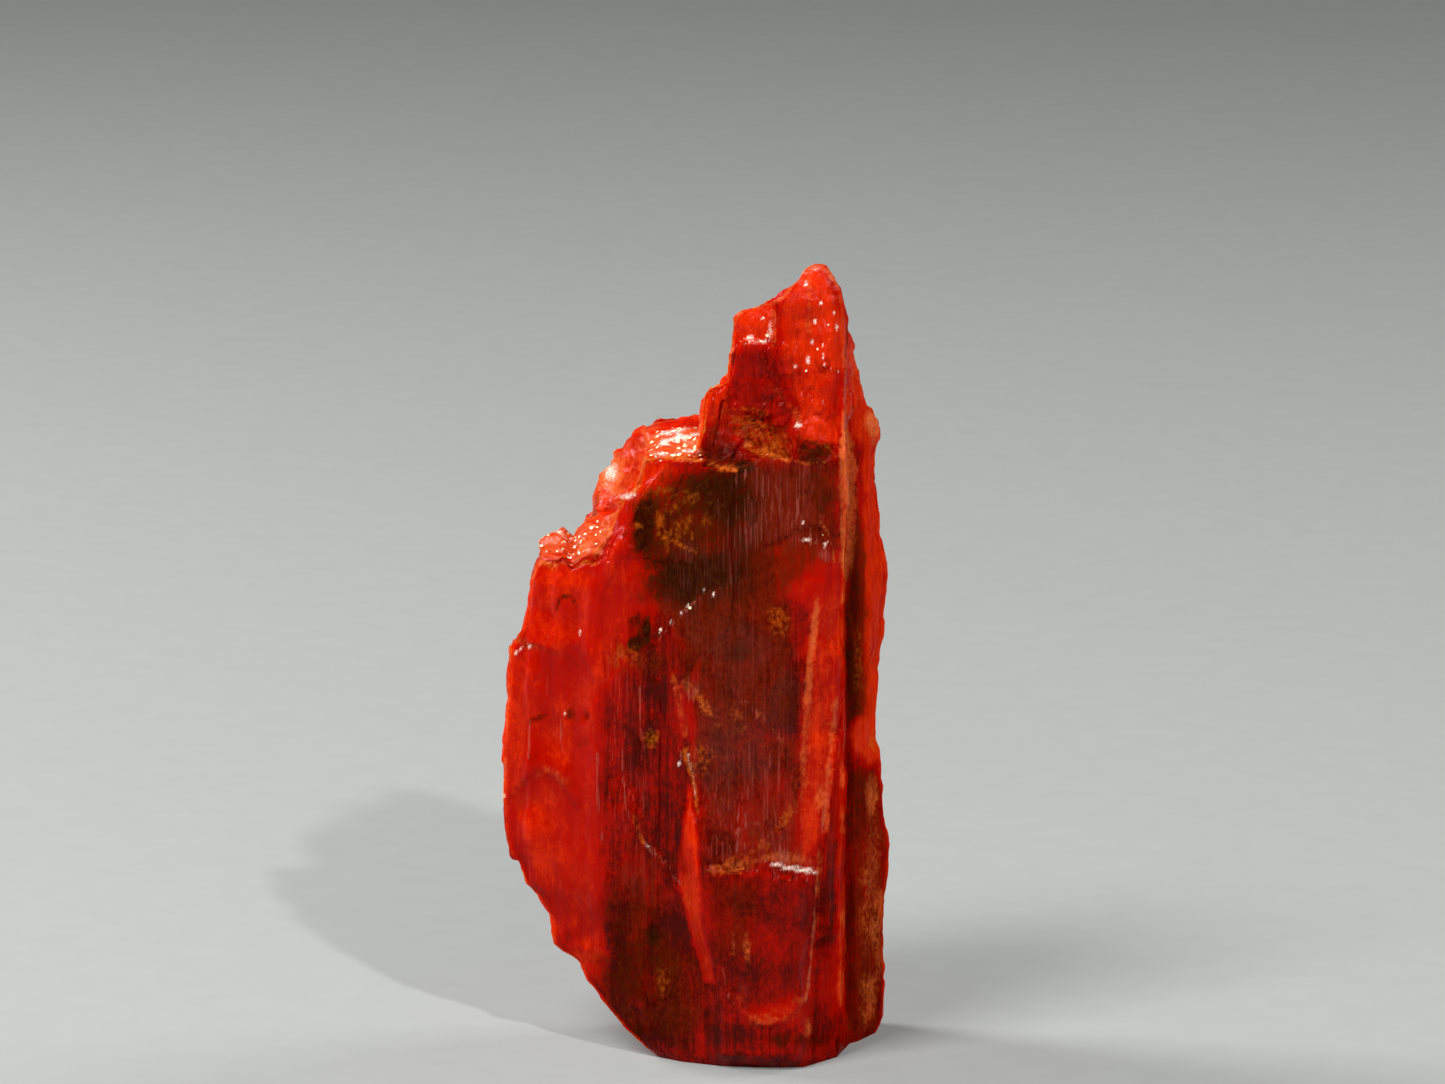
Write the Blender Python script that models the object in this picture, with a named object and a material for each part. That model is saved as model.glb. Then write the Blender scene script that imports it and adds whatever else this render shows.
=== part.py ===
"""A loose crocoite crystal, about 21 mm tall, standing on its broken base.

The crystal is one solid: a main blade, a thin wedge on its left, a lower blade behind it and a
narrow one at its right rear, all grown together. It is lofted up the height from the crystal's own
edges, and its growth steps, fracture ledges and pits are then pushed in or out of that loft.
Sizes are in millimetres, +X is to the right of the broad front face, +Y is its back and +Z is up.
"""

import bmesh
import bpy
import numpy as np

MM = 0.001
NODE_NAME = "crocoite_crystal"

# Driving sizes
APEX_HEIGHT = 20.75
ROWS = 54
CHIP_AT_BASE = 0.22
CHIP_INSET = 0.10

# Colour and finish
CROCOITE_RED = (0.30, 0.012, 0.003, 1.0)
CROCOITE_ROUGHNESS = 0.28

# The crystal's upright edges, in order round it from the left edge over the front. Each lists
# (height, x, depth) from the base up; the number is how many columns its face has.
EDGES = (
    ("left_front", 10, (
        (0.00, -1.00, -1.50), (0.75, -1.80, -1.40), (1.32, -2.29, -1.30), (2.06, -2.83, -1.15),
        (2.40, -2.98, -1.05), (2.84, -3.58, -0.95), (3.62, -3.70, -0.85), (4.14, -4.05, -0.80),
        (4.40, -4.38, -0.75), (4.93, -4.58, -0.70), (5.25, -4.80, -0.65), (5.70, -4.92, -0.55),
        (6.20, -4.97, -0.50), (7.00, -4.92, -0.50), (9.10, -4.80, -0.50), (10.60, -4.70, -0.50),
        (11.00, -4.42, -0.55), (11.60, -4.27, -0.55), (12.35, -4.20, -0.60), (12.70, -4.05, -0.60),
        (12.95, -3.80, -0.70), (13.15, -2.70, -1.30), (13.60, -2.25, -1.50), (14.25, -2.00, -1.60),
        (14.70, -1.80, -1.70), (15.05, -1.45, -1.80), (15.75, -1.25, -1.90), (15.95, 0.05, -2.00),
        (16.65, 0.20, -1.70), (17.20, 0.33, -1.60), (17.75, 0.75, -1.55), (18.40, 0.87, -1.50),
        (19.16, 0.93, -1.40), (19.42, 1.08, -1.35), (19.66, 1.60, -1.32), (19.80, 2.20, -1.30),
        (20.20, 2.46, -1.25), (20.46, 2.76, -1.20), (20.65, 2.90, -1.12), (20.75, 3.01, -1.05))),
    ("front_shoulder", 11, (
        (0.00, -0.40, -2.00), (1.80, -1.15, -1.95), (4.40, -2.20, -1.95), (7.00, -2.45, -1.90),
        (11.70, -2.45, -1.90), (13.00, -2.15, -2.00), (14.80, -1.35, -2.15), (15.70, -0.65, -2.20),
        (15.95, 0.45, -2.10), (17.20, 0.70, -1.85), (18.40, 1.15, -1.70), (19.60, 1.65, -1.55),
        (20.30, 2.55, -1.35), (20.75, 3.00, -1.15))),
    ("front_middle", 12, (
        (0.00, 0.65, -2.45), (2.15, 0.55, -2.45), (5.80, -0.20, -2.50), (9.60, -0.10, -2.50),
        (14.60, 0.40, -2.50), (15.80, 0.85, -2.50), (16.20, 1.10, -2.20), (17.20, 1.75, -2.00),
        (18.60, 1.95, -1.85), (19.75, 2.25, -1.65), (20.30, 2.75, -1.40), (20.75, 3.15, -1.20))),
    ("bevel", 5, (
        (0.00, 2.25, -2.60), (5.00, 2.40, -2.65), (7.00, 2.50, -2.70), (8.00, 2.70, -2.70),
        (10.40, 3.00, -2.70), (12.30, 3.30, -2.65), (15.75, 3.40, -2.60), (16.20, 3.45, -2.30),
        (18.00, 3.50, -1.95), (19.80, 3.45, -1.60), (20.75, 3.22, -1.20))),
    ("right_ridge", 4, (
        (0.00, 2.90, -2.50), (1.80, 3.00, -2.50), (5.00, 3.20, -2.45), (7.50, 3.40, -2.40),
        (9.00, 3.55, -2.35), (11.00, 3.68, -2.30), (15.80, 3.78, -2.25), (16.30, 3.78, -2.05),
        (19.55, 3.80, -1.25), (20.15, 3.65, -1.15), (20.45, 3.48, -1.10), (20.75, 3.28, -1.10))),
    ("right_flank", 4, (
        (0.00, 3.75, -1.50), (5.00, 3.80, -1.60), (9.00, 3.82, -1.95), (15.80, 3.84, -1.70),
        (19.20, 3.84, -0.90), (20.10, 3.67, -0.90), (20.75, 3.28, -1.00))),
    ("groove", 3, (
        (0.00, 4.10, -0.10), (0.90, 3.88, 0.15), (7.50, 3.80, 0.25), (15.50, 3.82, 0.20),
        (17.20, 3.82, -0.10), (18.85, 3.83, -0.60), (20.10, 3.64, -0.75), (20.75, 3.26, -0.95))),
    ("rear_blade_front", 6, (
        (0.00, 4.30, 0.10), (0.90, 4.15, 0.05), (7.50, 4.10, 0.10), (11.50, 4.25, 0.10),
        (15.20, 4.15, 0.25), (16.20, 4.25, 0.30), (17.20, 4.00, 0.10), (18.85, 3.83, -0.40),
        (20.10, 3.60, -0.65), (20.75, 3.24, -0.92))),
    ("right_outer", 5, (
        (0.00, 4.74, 1.00), (1.70, 4.87, 1.20), (3.50, 4.78, 1.20), (3.95, 4.92, 1.20),
        (4.65, 4.96, 1.20), (5.90, 4.87, 1.20), (7.20, 4.71, 1.10), (7.75, 4.56, 1.10),
        (9.55, 4.66, 1.20), (11.10, 4.78, 1.20), (11.90, 4.89, 1.20), (13.50, 4.76, 1.10),
        (15.30, 4.62, 1.00), (15.90, 4.76, 1.00), (16.25, 4.70, 0.90), (16.70, 4.38, 0.75),
        (17.50, 4.18, 0.60), (18.35, 4.02, 0.35), (18.90, 3.85, 0.00), (19.55, 3.78, -0.20),
        (20.10, 3.60, -0.45), (20.75, 3.20, -0.88))),
    ("right_rear", 6, (
        (0.00, 4.10, 2.20), (7.50, 4.25, 2.50), (14.50, 4.20, 2.40), (16.00, 4.05, 2.00),
        (17.30, 3.70, 1.25), (18.90, 3.55, 0.40), (20.10, 3.35, -0.30), (20.75, 3.14, -0.86))),
    ("rear_middle", 3, (
        (0.00, 1.90, 2.45), (6.00, 1.70, 2.90), (13.50, 1.75, 2.80), (15.20, 2.00, 2.50),
        (16.10, 2.30, 1.80), (17.30, 2.60, 1.00), (18.90, 2.85, 0.20), (20.10, 3.00, -0.45),
        (20.75, 3.08, -0.90))),
    ("rear_valley", 2, (
        (0.00, 1.05, 2.00), (6.00, 0.80, 2.30), (13.50, 0.75, 2.15), (15.20, 1.00, 1.95),
        (16.10, 1.55, 1.55), (17.30, 2.15, 0.90), (18.90, 2.45, 0.10), (19.80, 2.75, -0.45),
        (20.75, 3.06, -0.92))),
    ("rear_lobe_right", 6, (
        (0.00, 0.60, 2.35), (6.00, 0.05, 2.85), (13.50, -0.10, 2.72), (15.20, 0.20, 2.45),
        (16.10, 0.95, 1.80), (17.30, 1.78, 0.98), (18.90, 2.15, 0.08), (19.80, 2.62, -0.42),
        (20.75, 3.04, -0.94))),
    ("rear_lobe", 5, (
        (0.00, 0.00, 2.25), (3.40, -1.90, 2.55), (6.00, -3.30, 2.40), (11.50, -2.90, 2.55),
        (13.90, -2.25, 2.55), (14.80, -1.90, 2.45), (15.30, -1.55, 2.35), (15.75, -1.00, 2.20),
        (15.95, -0.10, 1.95), (16.15, 0.90, 1.50), (17.30, 1.60, 0.75), (18.90, 1.95, 0.00),
        (19.80, 2.50, -0.45), (20.75, 3.03, -0.95))),
    ("rear_left", 4, (
        (0.00, -0.75, 1.40), (3.40, -3.05, 1.50), (5.60, -4.45, 1.30), (8.80, -4.40, 1.30),
        (11.50, -3.85, 1.45), (13.30, -3.10, 1.55), (13.75, -2.75, 1.60), (14.30, -2.66, 1.60),
        (14.65, -2.44, 1.60), (15.20, -2.13, 1.60), (15.50, -1.82, 1.60), (15.73, -1.50, 1.58),
        (15.99, -1.00, 1.52), (16.12, 0.10, 1.40), (16.30, 0.75, 0.95), (17.30, 0.92, 0.30),
        (18.90, 1.40, -0.30), (19.75, 2.20, -0.70), (20.75, 3.02, -1.00))),
    ("left_rear", 4, (
        (0.00, -1.10, 0.10), (1.70, -2.50, 0.25), (3.45, -3.40, 0.45), (5.00, -4.35, 0.45),
        (6.00, -4.85, 0.40), (10.40, -4.60, 0.40), (10.90, -4.35, 0.40), (12.50, -4.05, 0.50),
        (13.05, -4.00, 0.55), (13.26, -3.82, 0.60), (13.42, -3.40, 0.60), (13.55, -2.90, 0.50),
        (13.80, -2.40, 0.40), (14.30, -1.85, 0.15), (15.05, -1.30, 0.05), (15.85, -1.05, -0.05),
        (16.05, -0.65, 0.00), (16.20, 0.15, -0.05), (17.20, 0.40, -0.75), (18.40, 0.97, -0.85),
        (19.25, 1.15, -0.90), (19.50, 1.70, -0.92), (19.66, 2.22, -0.95), (20.20, 2.52, -0.98),
        (20.75, 3.01, -1.02))),
)
NAMES = [name for name, _, _ in EDGES]
FRONT_FACES = ("left_front", "front_shoulder", "front_middle", "bevel")
CALM_FACES = FRONT_FACES + ("left_rear", "right_flank", "groove", "rear_blade_front", "right_outer")

# Heights where the rows stand closest, because the crystal steps in there
LEDGE_HEIGHTS = (13.1, 15.85, 19.8)
LEDGE_ROW_SPREAD = 0.45
LEDGE_ROW_GAIN = 3.0

# The fracture across the front, above which the face drops back: (x, height). The drop fades out
# up the peak, and all relief of the front fades out towards its left and right edges.
FRACTURE_LINE = (
    (-1.25, 16.00), (0.10, 15.95), (1.10, 15.70), (1.60, 16.05), (2.70, 15.80), (3.00, 16.15),
    (3.80, 15.95))
FRACTURE_DROP = 0.24
DROP_FADE = (16.5, 18.5)
FADE_LEFT = 1.60
FADE_RIGHT = 0.50
TIP_FADE = (19.15, 20.55)

# The upright groove between the two lumps of the peak: its middle, half width and ends
PEAK_GROOVE_X = 2.12
PEAK_GROOVE_HALF = 0.20
PEAK_GROOVE_DEPTH = 0.16
PEAK_GROOVE_ENDS = (17.2, 19.9)

# The proud block low on the right of the front, and the narrow slanted facet down its left side
BLOCK_TOP = 5.12
BLOCK_PROUD = 0.16
SLIVER_LINE = (
    (2.15, 0.55), (3.60, 0.15), (4.40, -0.05), (5.70, -0.25), (6.50, -0.22), (7.60, -0.15))
SLIVER_PROUD = 0.30
SLIVER_WIDTH = 0.40
SLIVER_REACH = 4.5
SLIVER_TOP = 7.60
SLIVER_FULL = 5.80

# Long flat growth steps, all round
STEP_SEED = 11
STEP_COUNT = 60
STEP_HALF_WIDTH = (0.18, 0.75)
STEP_LENGTH = (4.0, 15.0)
STEP_DEPTH = 0.21
STEP_CALM_SHARE = 0.30
STEP_SOFT = 0.13
STEP_FADE = (14.8, 16.0)

# Lumps and pits of the fracture surfaces
LUMP_SEED = 5
LUMP_CELL = 0.95
LUMP_DEPTH = 0.24
LUMP_TERRACES = 2.5
LUMPS_ON_FACES = 0.25
LUMPS_ON_LEDGES = 1.2
LUMPS_ON_PEAK = 0.6
LUMP_FACE_WIDTH = (0.0, 1.3)
PEAK_CALM = 0.6
PEAK_SPAN = (16.5, 19.5)


def ramp(value, low, high):
    """0 below low, 1 above high and a smooth rise between."""
    t = np.clip((value - low) / (high - low), 0.0, 1.0)
    return t * t * (3.0 - 2.0 * t)


def row_heights():
    """Heights of the rows, from the base to the apex, crowded where the crystal steps in."""
    fine = np.linspace(0.0, APEX_HEIGHT, 2000)
    density = np.ones_like(fine)
    for ledge in LEDGE_HEIGHTS:
        density += LEDGE_ROW_GAIN * np.exp(-(((fine - ledge) / LEDGE_ROW_SPREAD) ** 2))
    share = np.concatenate([[0.0], np.cumsum(0.5 * (density[1:] + density[:-1]))])
    rows = np.interp(np.linspace(0.0, share[-1], ROWS), share, fine)
    return np.insert(rows, 1, CHIP_AT_BASE)


def edge_at(number, heights):
    """Places (x, depth) of one of the crystal's edges at the given heights."""
    z, x, y = np.array(EDGES[number % len(EDGES)][2]).T
    return np.stack([np.interp(heights, z, x), np.interp(heights, z, y)], axis=-1)


def columns():
    """Each column's face, its share of the way over that face and its place round the crystal in
    millimetres at half height, then the place where each face ends."""
    face, share, around, ends = [], [], [], []
    start = 0.0
    for number, (_, count, _) in enumerate(EDGES):
        width = np.hypot(*(edge_at(number + 1, APEX_HEIGHT / 2) - edge_at(number, APEX_HEIGHT / 2)))
        steps = np.arange(count) / count
        face.append(np.full(count, number))
        share.append(steps)
        around.append(start + width * steps)
        start += width
        ends.append(start)
    return np.concatenate(face), np.concatenate(share), np.concatenate(around), ends


def loft(heights, face, share):
    """Points (rows, columns, 3) on the straight faces between the crystal's edges, and how wide the
    faces are there."""
    edges = np.stack([edge_at(number, heights) for number in range(len(EDGES) + 1)], axis=1)
    here, after = edges[:, face], edges[:, face + 1]
    flat = here + (after - here) * share[None, :, None]
    height = np.broadcast_to(heights[:, None, None], flat.shape[:2] + (1,))
    width = np.linalg.norm(after - here, axis=-1)
    return np.concatenate([flat, height], axis=-1), np.minimum(width, np.roll(width, 1, axis=1))


def outward(points):
    """Unit normals of the loft's grid, facing out."""
    along = np.roll(points, -1, axis=1) - np.roll(points, 1, axis=1)
    up = np.gradient(points, axis=0)
    normal = np.cross(along, up)
    return normal / np.maximum(np.linalg.norm(normal, axis=-1, keepdims=True), 1e-9)


def straight_places(points, face):
    """Each point's place round the crystal, measured straight along its own face, so that a line of
    one place is upright at every height. At half height it equals the columns' place."""
    middle = np.array([edge_at(number, APEX_HEIGHT / 2) for number in range(len(EDGES) + 1)])
    step = np.diff(middle, axis=0)
    width = np.linalg.norm(step, axis=-1)
    along = step / width[:, None]
    start = np.concatenate([[0.0], np.cumsum(width)])
    return start[face] + ((points[..., :2] - middle[face]) * along[face]).sum(axis=-1)


def growth_steps(place, girth, height):
    """Long upright strips, each a little proud of its face or sunk in it."""
    rng = np.random.default_rng(STEP_SEED)
    relief = np.zeros(place.shape)
    for _ in range(STEP_COUNT):
        centre = rng.uniform(0.0, girth)
        half = rng.uniform(*STEP_HALF_WIDTH)
        low = rng.uniform(-3.0, 13.0)
        high = low + rng.uniform(*STEP_LENGTH)
        depth = rng.uniform(-STEP_DEPTH, STEP_DEPTH)
        off = np.abs((place - centre + girth / 2) % girth - girth / 2)
        across = 1.0 - ramp(off, half - STEP_SOFT, half + STEP_SOFT)
        relief += depth * across * ramp(height, low, low + 0.3) * (1.0 - ramp(height, high - 0.3, high))
    return relief


def lumps(points):
    """Ledgy bumps: random values on a cubic grid, blended between its corners and then terraced."""
    rng = np.random.default_rng(LUMP_SEED)
    grid = points / LUMP_CELL + 20.0
    cell = np.floor(grid).astype(int)
    t = grid - cell
    t = t * t * (3.0 - 2.0 * t)
    values = rng.uniform(-1.0, 1.0, (48, 48, 48))
    total = np.zeros(points.shape[:-1])
    for corner in np.ndindex(2, 2, 2):
        i, j, k = (cell[..., axis] + corner[axis] for axis in range(3))
        weight = np.prod([t[..., a] if corner[a] else 1.0 - t[..., a] for a in range(3)], axis=0)
        total += weight * values[i, j, k]
    level = np.floor(total * LUMP_TERRACES)
    return (level + ramp(total * LUMP_TERRACES - level, 0.2, 0.8)) / LUMP_TERRACES


def front_relief(around, front_end, x, height):
    """The fracture drop, peak groove, sliver facet and proud block of the broad front face."""
    line = np.interp(x, *np.array(FRACTURE_LINE).T)
    relief = -FRACTURE_DROP * ramp(height - line, -0.02, 0.16) * (1.0 - ramp(height, *DROP_FADE))
    low, high = PEAK_GROOVE_ENDS
    ends = ramp(height, low, low + 0.8) * (1.0 - ramp(height, high - 0.4, high))
    relief -= PEAK_GROOVE_DEPTH * ends * (1.0 - ramp(np.abs(x - PEAK_GROOVE_X), 0.0, PEAK_GROOVE_HALF))
    edge = np.interp(height, *np.array(SLIVER_LINE).T)
    rise = ramp(-height, -SLIVER_TOP, -SLIVER_FULL)
    across = np.clip((x - edge) / SLIVER_WIDTH + 0.5, 0.0, 1.0)
    across *= np.clip(1.0 - (x - edge) / SLIVER_REACH, 0.0, 1.0)
    relief += SLIVER_PROUD * rise * across
    block = ramp(-height, -BLOCK_TOP, 0.08 - BLOCK_TOP)
    relief += BLOCK_PROUD * block * np.clip((x - edge) / 0.8, 0.0, 1.0)
    fade = ramp(around, 0.0, FADE_LEFT) * (1.0 - ramp(around, front_end - FADE_RIGHT, front_end))
    return relief * fade


def crystal_points():
    """The finished surface as a grid of points, in millimetres."""
    face, share, around, ends = columns()
    points, width = loft(row_heights(), face, share)
    normal = outward(points)
    height = points[..., 2]
    calm = np.isin(face, [NAMES.index(name) for name in CALM_FACES])
    relief = growth_steps(straight_places(points, face), ends[-1], height)
    relief *= np.where(calm, STEP_CALM_SHARE, 1.0) * (1.0 - ramp(height, *STEP_FADE))
    broken = LUMPS_ON_FACES + LUMPS_ON_LEDGES * np.maximum(normal[..., 2], 0.0)
    broken = np.clip(broken + LUMPS_ON_PEAK * ramp(height, 15.8, 17.0), 0.0, 1.0)
    broken *= (1.0 - PEAK_CALM * ramp(height, *PEAK_SPAN)) * ramp(width, *LUMP_FACE_WIDTH)
    relief += LUMP_DEPTH * broken * lumps(points)
    ends_flat = ramp(height, 0.0, 0.5) * (1.0 - ramp(height, *TIP_FADE))
    front_end = ends[NAMES.index(FRONT_FACES[-1])]
    proud = front_relief(around, front_end, points[..., 0], height)
    points = points + normal * (relief * ends_flat)[..., None]
    points[..., 1] -= proud * ends_flat
    points[..., 2] = np.clip(points[..., 2], 0.0, None)
    points[0, :, 2] = 0.0
    centre = points[0].mean(axis=0)
    spread = np.linalg.norm(points[0] - centre, axis=-1, keepdims=True)
    points[0] += (centre - points[0]) / spread * CHIP_INSET
    return points


def centred(points):
    """Moves the grid so that the middle of its box, seen from above, is the origin."""
    low, high = points.min(axis=(0, 1)), points.max(axis=(0, 1))
    return points - np.array([(low[0] + high[0]) / 2, (low[1] + high[1]) / 2, 0.0])


def crystal_mesh(points):
    """Joins the rows of points by faces, and closes the base and the tip."""
    mesh = bmesh.new()
    rings = [[mesh.verts.new(point * MM) for point in row] for row in points]
    count = len(rings[0])
    for lower, upper in zip(rings, rings[1:]):
        for i in range(count):
            j = (i + 1) % count
            mesh.faces.new((lower[i], lower[j], upper[j], upper[i]))
    mesh.faces.new(list(reversed(rings[0])))
    mesh.faces.new(rings[-1])
    bmesh.ops.triangulate(mesh, faces=mesh.faces[:])
    bmesh.ops.recalc_face_normals(mesh, faces=mesh.faces[:])
    data = bpy.data.meshes.new(NODE_NAME)
    mesh.to_mesh(data)
    mesh.free()
    return data


def crocoite_material():
    """Glossy orange-red lead chromate."""
    material = bpy.data.materials.new("crocoite")
    material.use_nodes = True
    shader = material.node_tree.nodes["Principled BSDF"]
    shader.inputs["Base Color"].default_value = CROCOITE_RED
    shader.inputs["Roughness"].default_value = CROCOITE_ROUGHNESS
    shader.inputs["Metallic"].default_value = 0.0
    return material


def main():
    for old in list(bpy.data.objects):
        bpy.data.objects.remove(old)
    crystal = bpy.data.objects.new(NODE_NAME, crystal_mesh(centred(crystal_points())))
    crystal.data.materials.append(crocoite_material())
    bpy.context.scene.collection.objects.link(crystal)


main()
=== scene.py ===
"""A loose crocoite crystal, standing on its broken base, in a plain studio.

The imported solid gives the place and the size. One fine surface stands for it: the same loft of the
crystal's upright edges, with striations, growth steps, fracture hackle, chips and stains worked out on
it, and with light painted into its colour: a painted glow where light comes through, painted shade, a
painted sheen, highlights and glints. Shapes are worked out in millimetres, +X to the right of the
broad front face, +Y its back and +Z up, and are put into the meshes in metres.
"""

import math
from functools import partial

import bpy
import numpy as np
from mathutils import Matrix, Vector


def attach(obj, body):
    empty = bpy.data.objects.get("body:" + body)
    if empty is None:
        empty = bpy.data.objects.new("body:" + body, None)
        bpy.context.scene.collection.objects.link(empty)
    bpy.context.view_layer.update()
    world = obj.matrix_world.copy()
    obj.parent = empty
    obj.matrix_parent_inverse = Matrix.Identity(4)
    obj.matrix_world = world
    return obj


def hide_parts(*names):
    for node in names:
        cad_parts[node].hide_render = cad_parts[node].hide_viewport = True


bl_info = {
    "name": "Crocoite crystal",
    "version": (1, 0, 0),
    "blender": (4, 5, 0),
    "location": "3D View > Sidebar > Crocoite",
    "description": "Makes a crocoite crystal with striations, fracture ledges and iron stains",
    "category": "Add Mesh",
}

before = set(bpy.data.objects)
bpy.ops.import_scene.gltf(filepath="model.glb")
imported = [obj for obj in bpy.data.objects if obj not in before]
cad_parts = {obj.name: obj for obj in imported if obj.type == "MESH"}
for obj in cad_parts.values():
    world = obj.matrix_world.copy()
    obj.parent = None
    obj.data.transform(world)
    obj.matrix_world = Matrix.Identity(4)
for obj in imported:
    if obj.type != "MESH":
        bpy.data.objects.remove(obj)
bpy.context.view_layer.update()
CAD_NODE = "crocoite_crystal"
MM = 0.001

# The middle of the solid's box, seen from above, in the loft's own coordinates
BOX_MIDDLE = (0.033, -0.003)
APEX_HEIGHT = 20.75
# The corner round the base is taken off: how high up it starts, and how far in it goes
CHIP_AT_BASE = 0.22
CHIP_INSET = 0.10

# The photograph's width in pixels, its pixels to a millimetre, and its pixel column at x = 0 and row
# at the base. The breaks and stains below are placed by these pixels.
PHOTO_WIDTH = 1445
PIXELS = 39.15
PIXEL_MIDDLE = 694.5
PIXEL_BASE = 1048.0
# How the photograph looks at the crystal: its height above the horizon, its distance and its aim in
# millimetres, and the width of the view there
SIGHT_ELEVATION = math.radians(12.0)
SIGHT_DISTANCE = 240.0
SIGHT_AIM = (0.715, 0.0, 13.21)
SIGHT_WIDTH = PHOTO_WIDTH / PIXELS
# How far a surface faces the photograph where its marks start, and where they are whole
SEEN_SPAN = (-0.04, 0.16)

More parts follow.
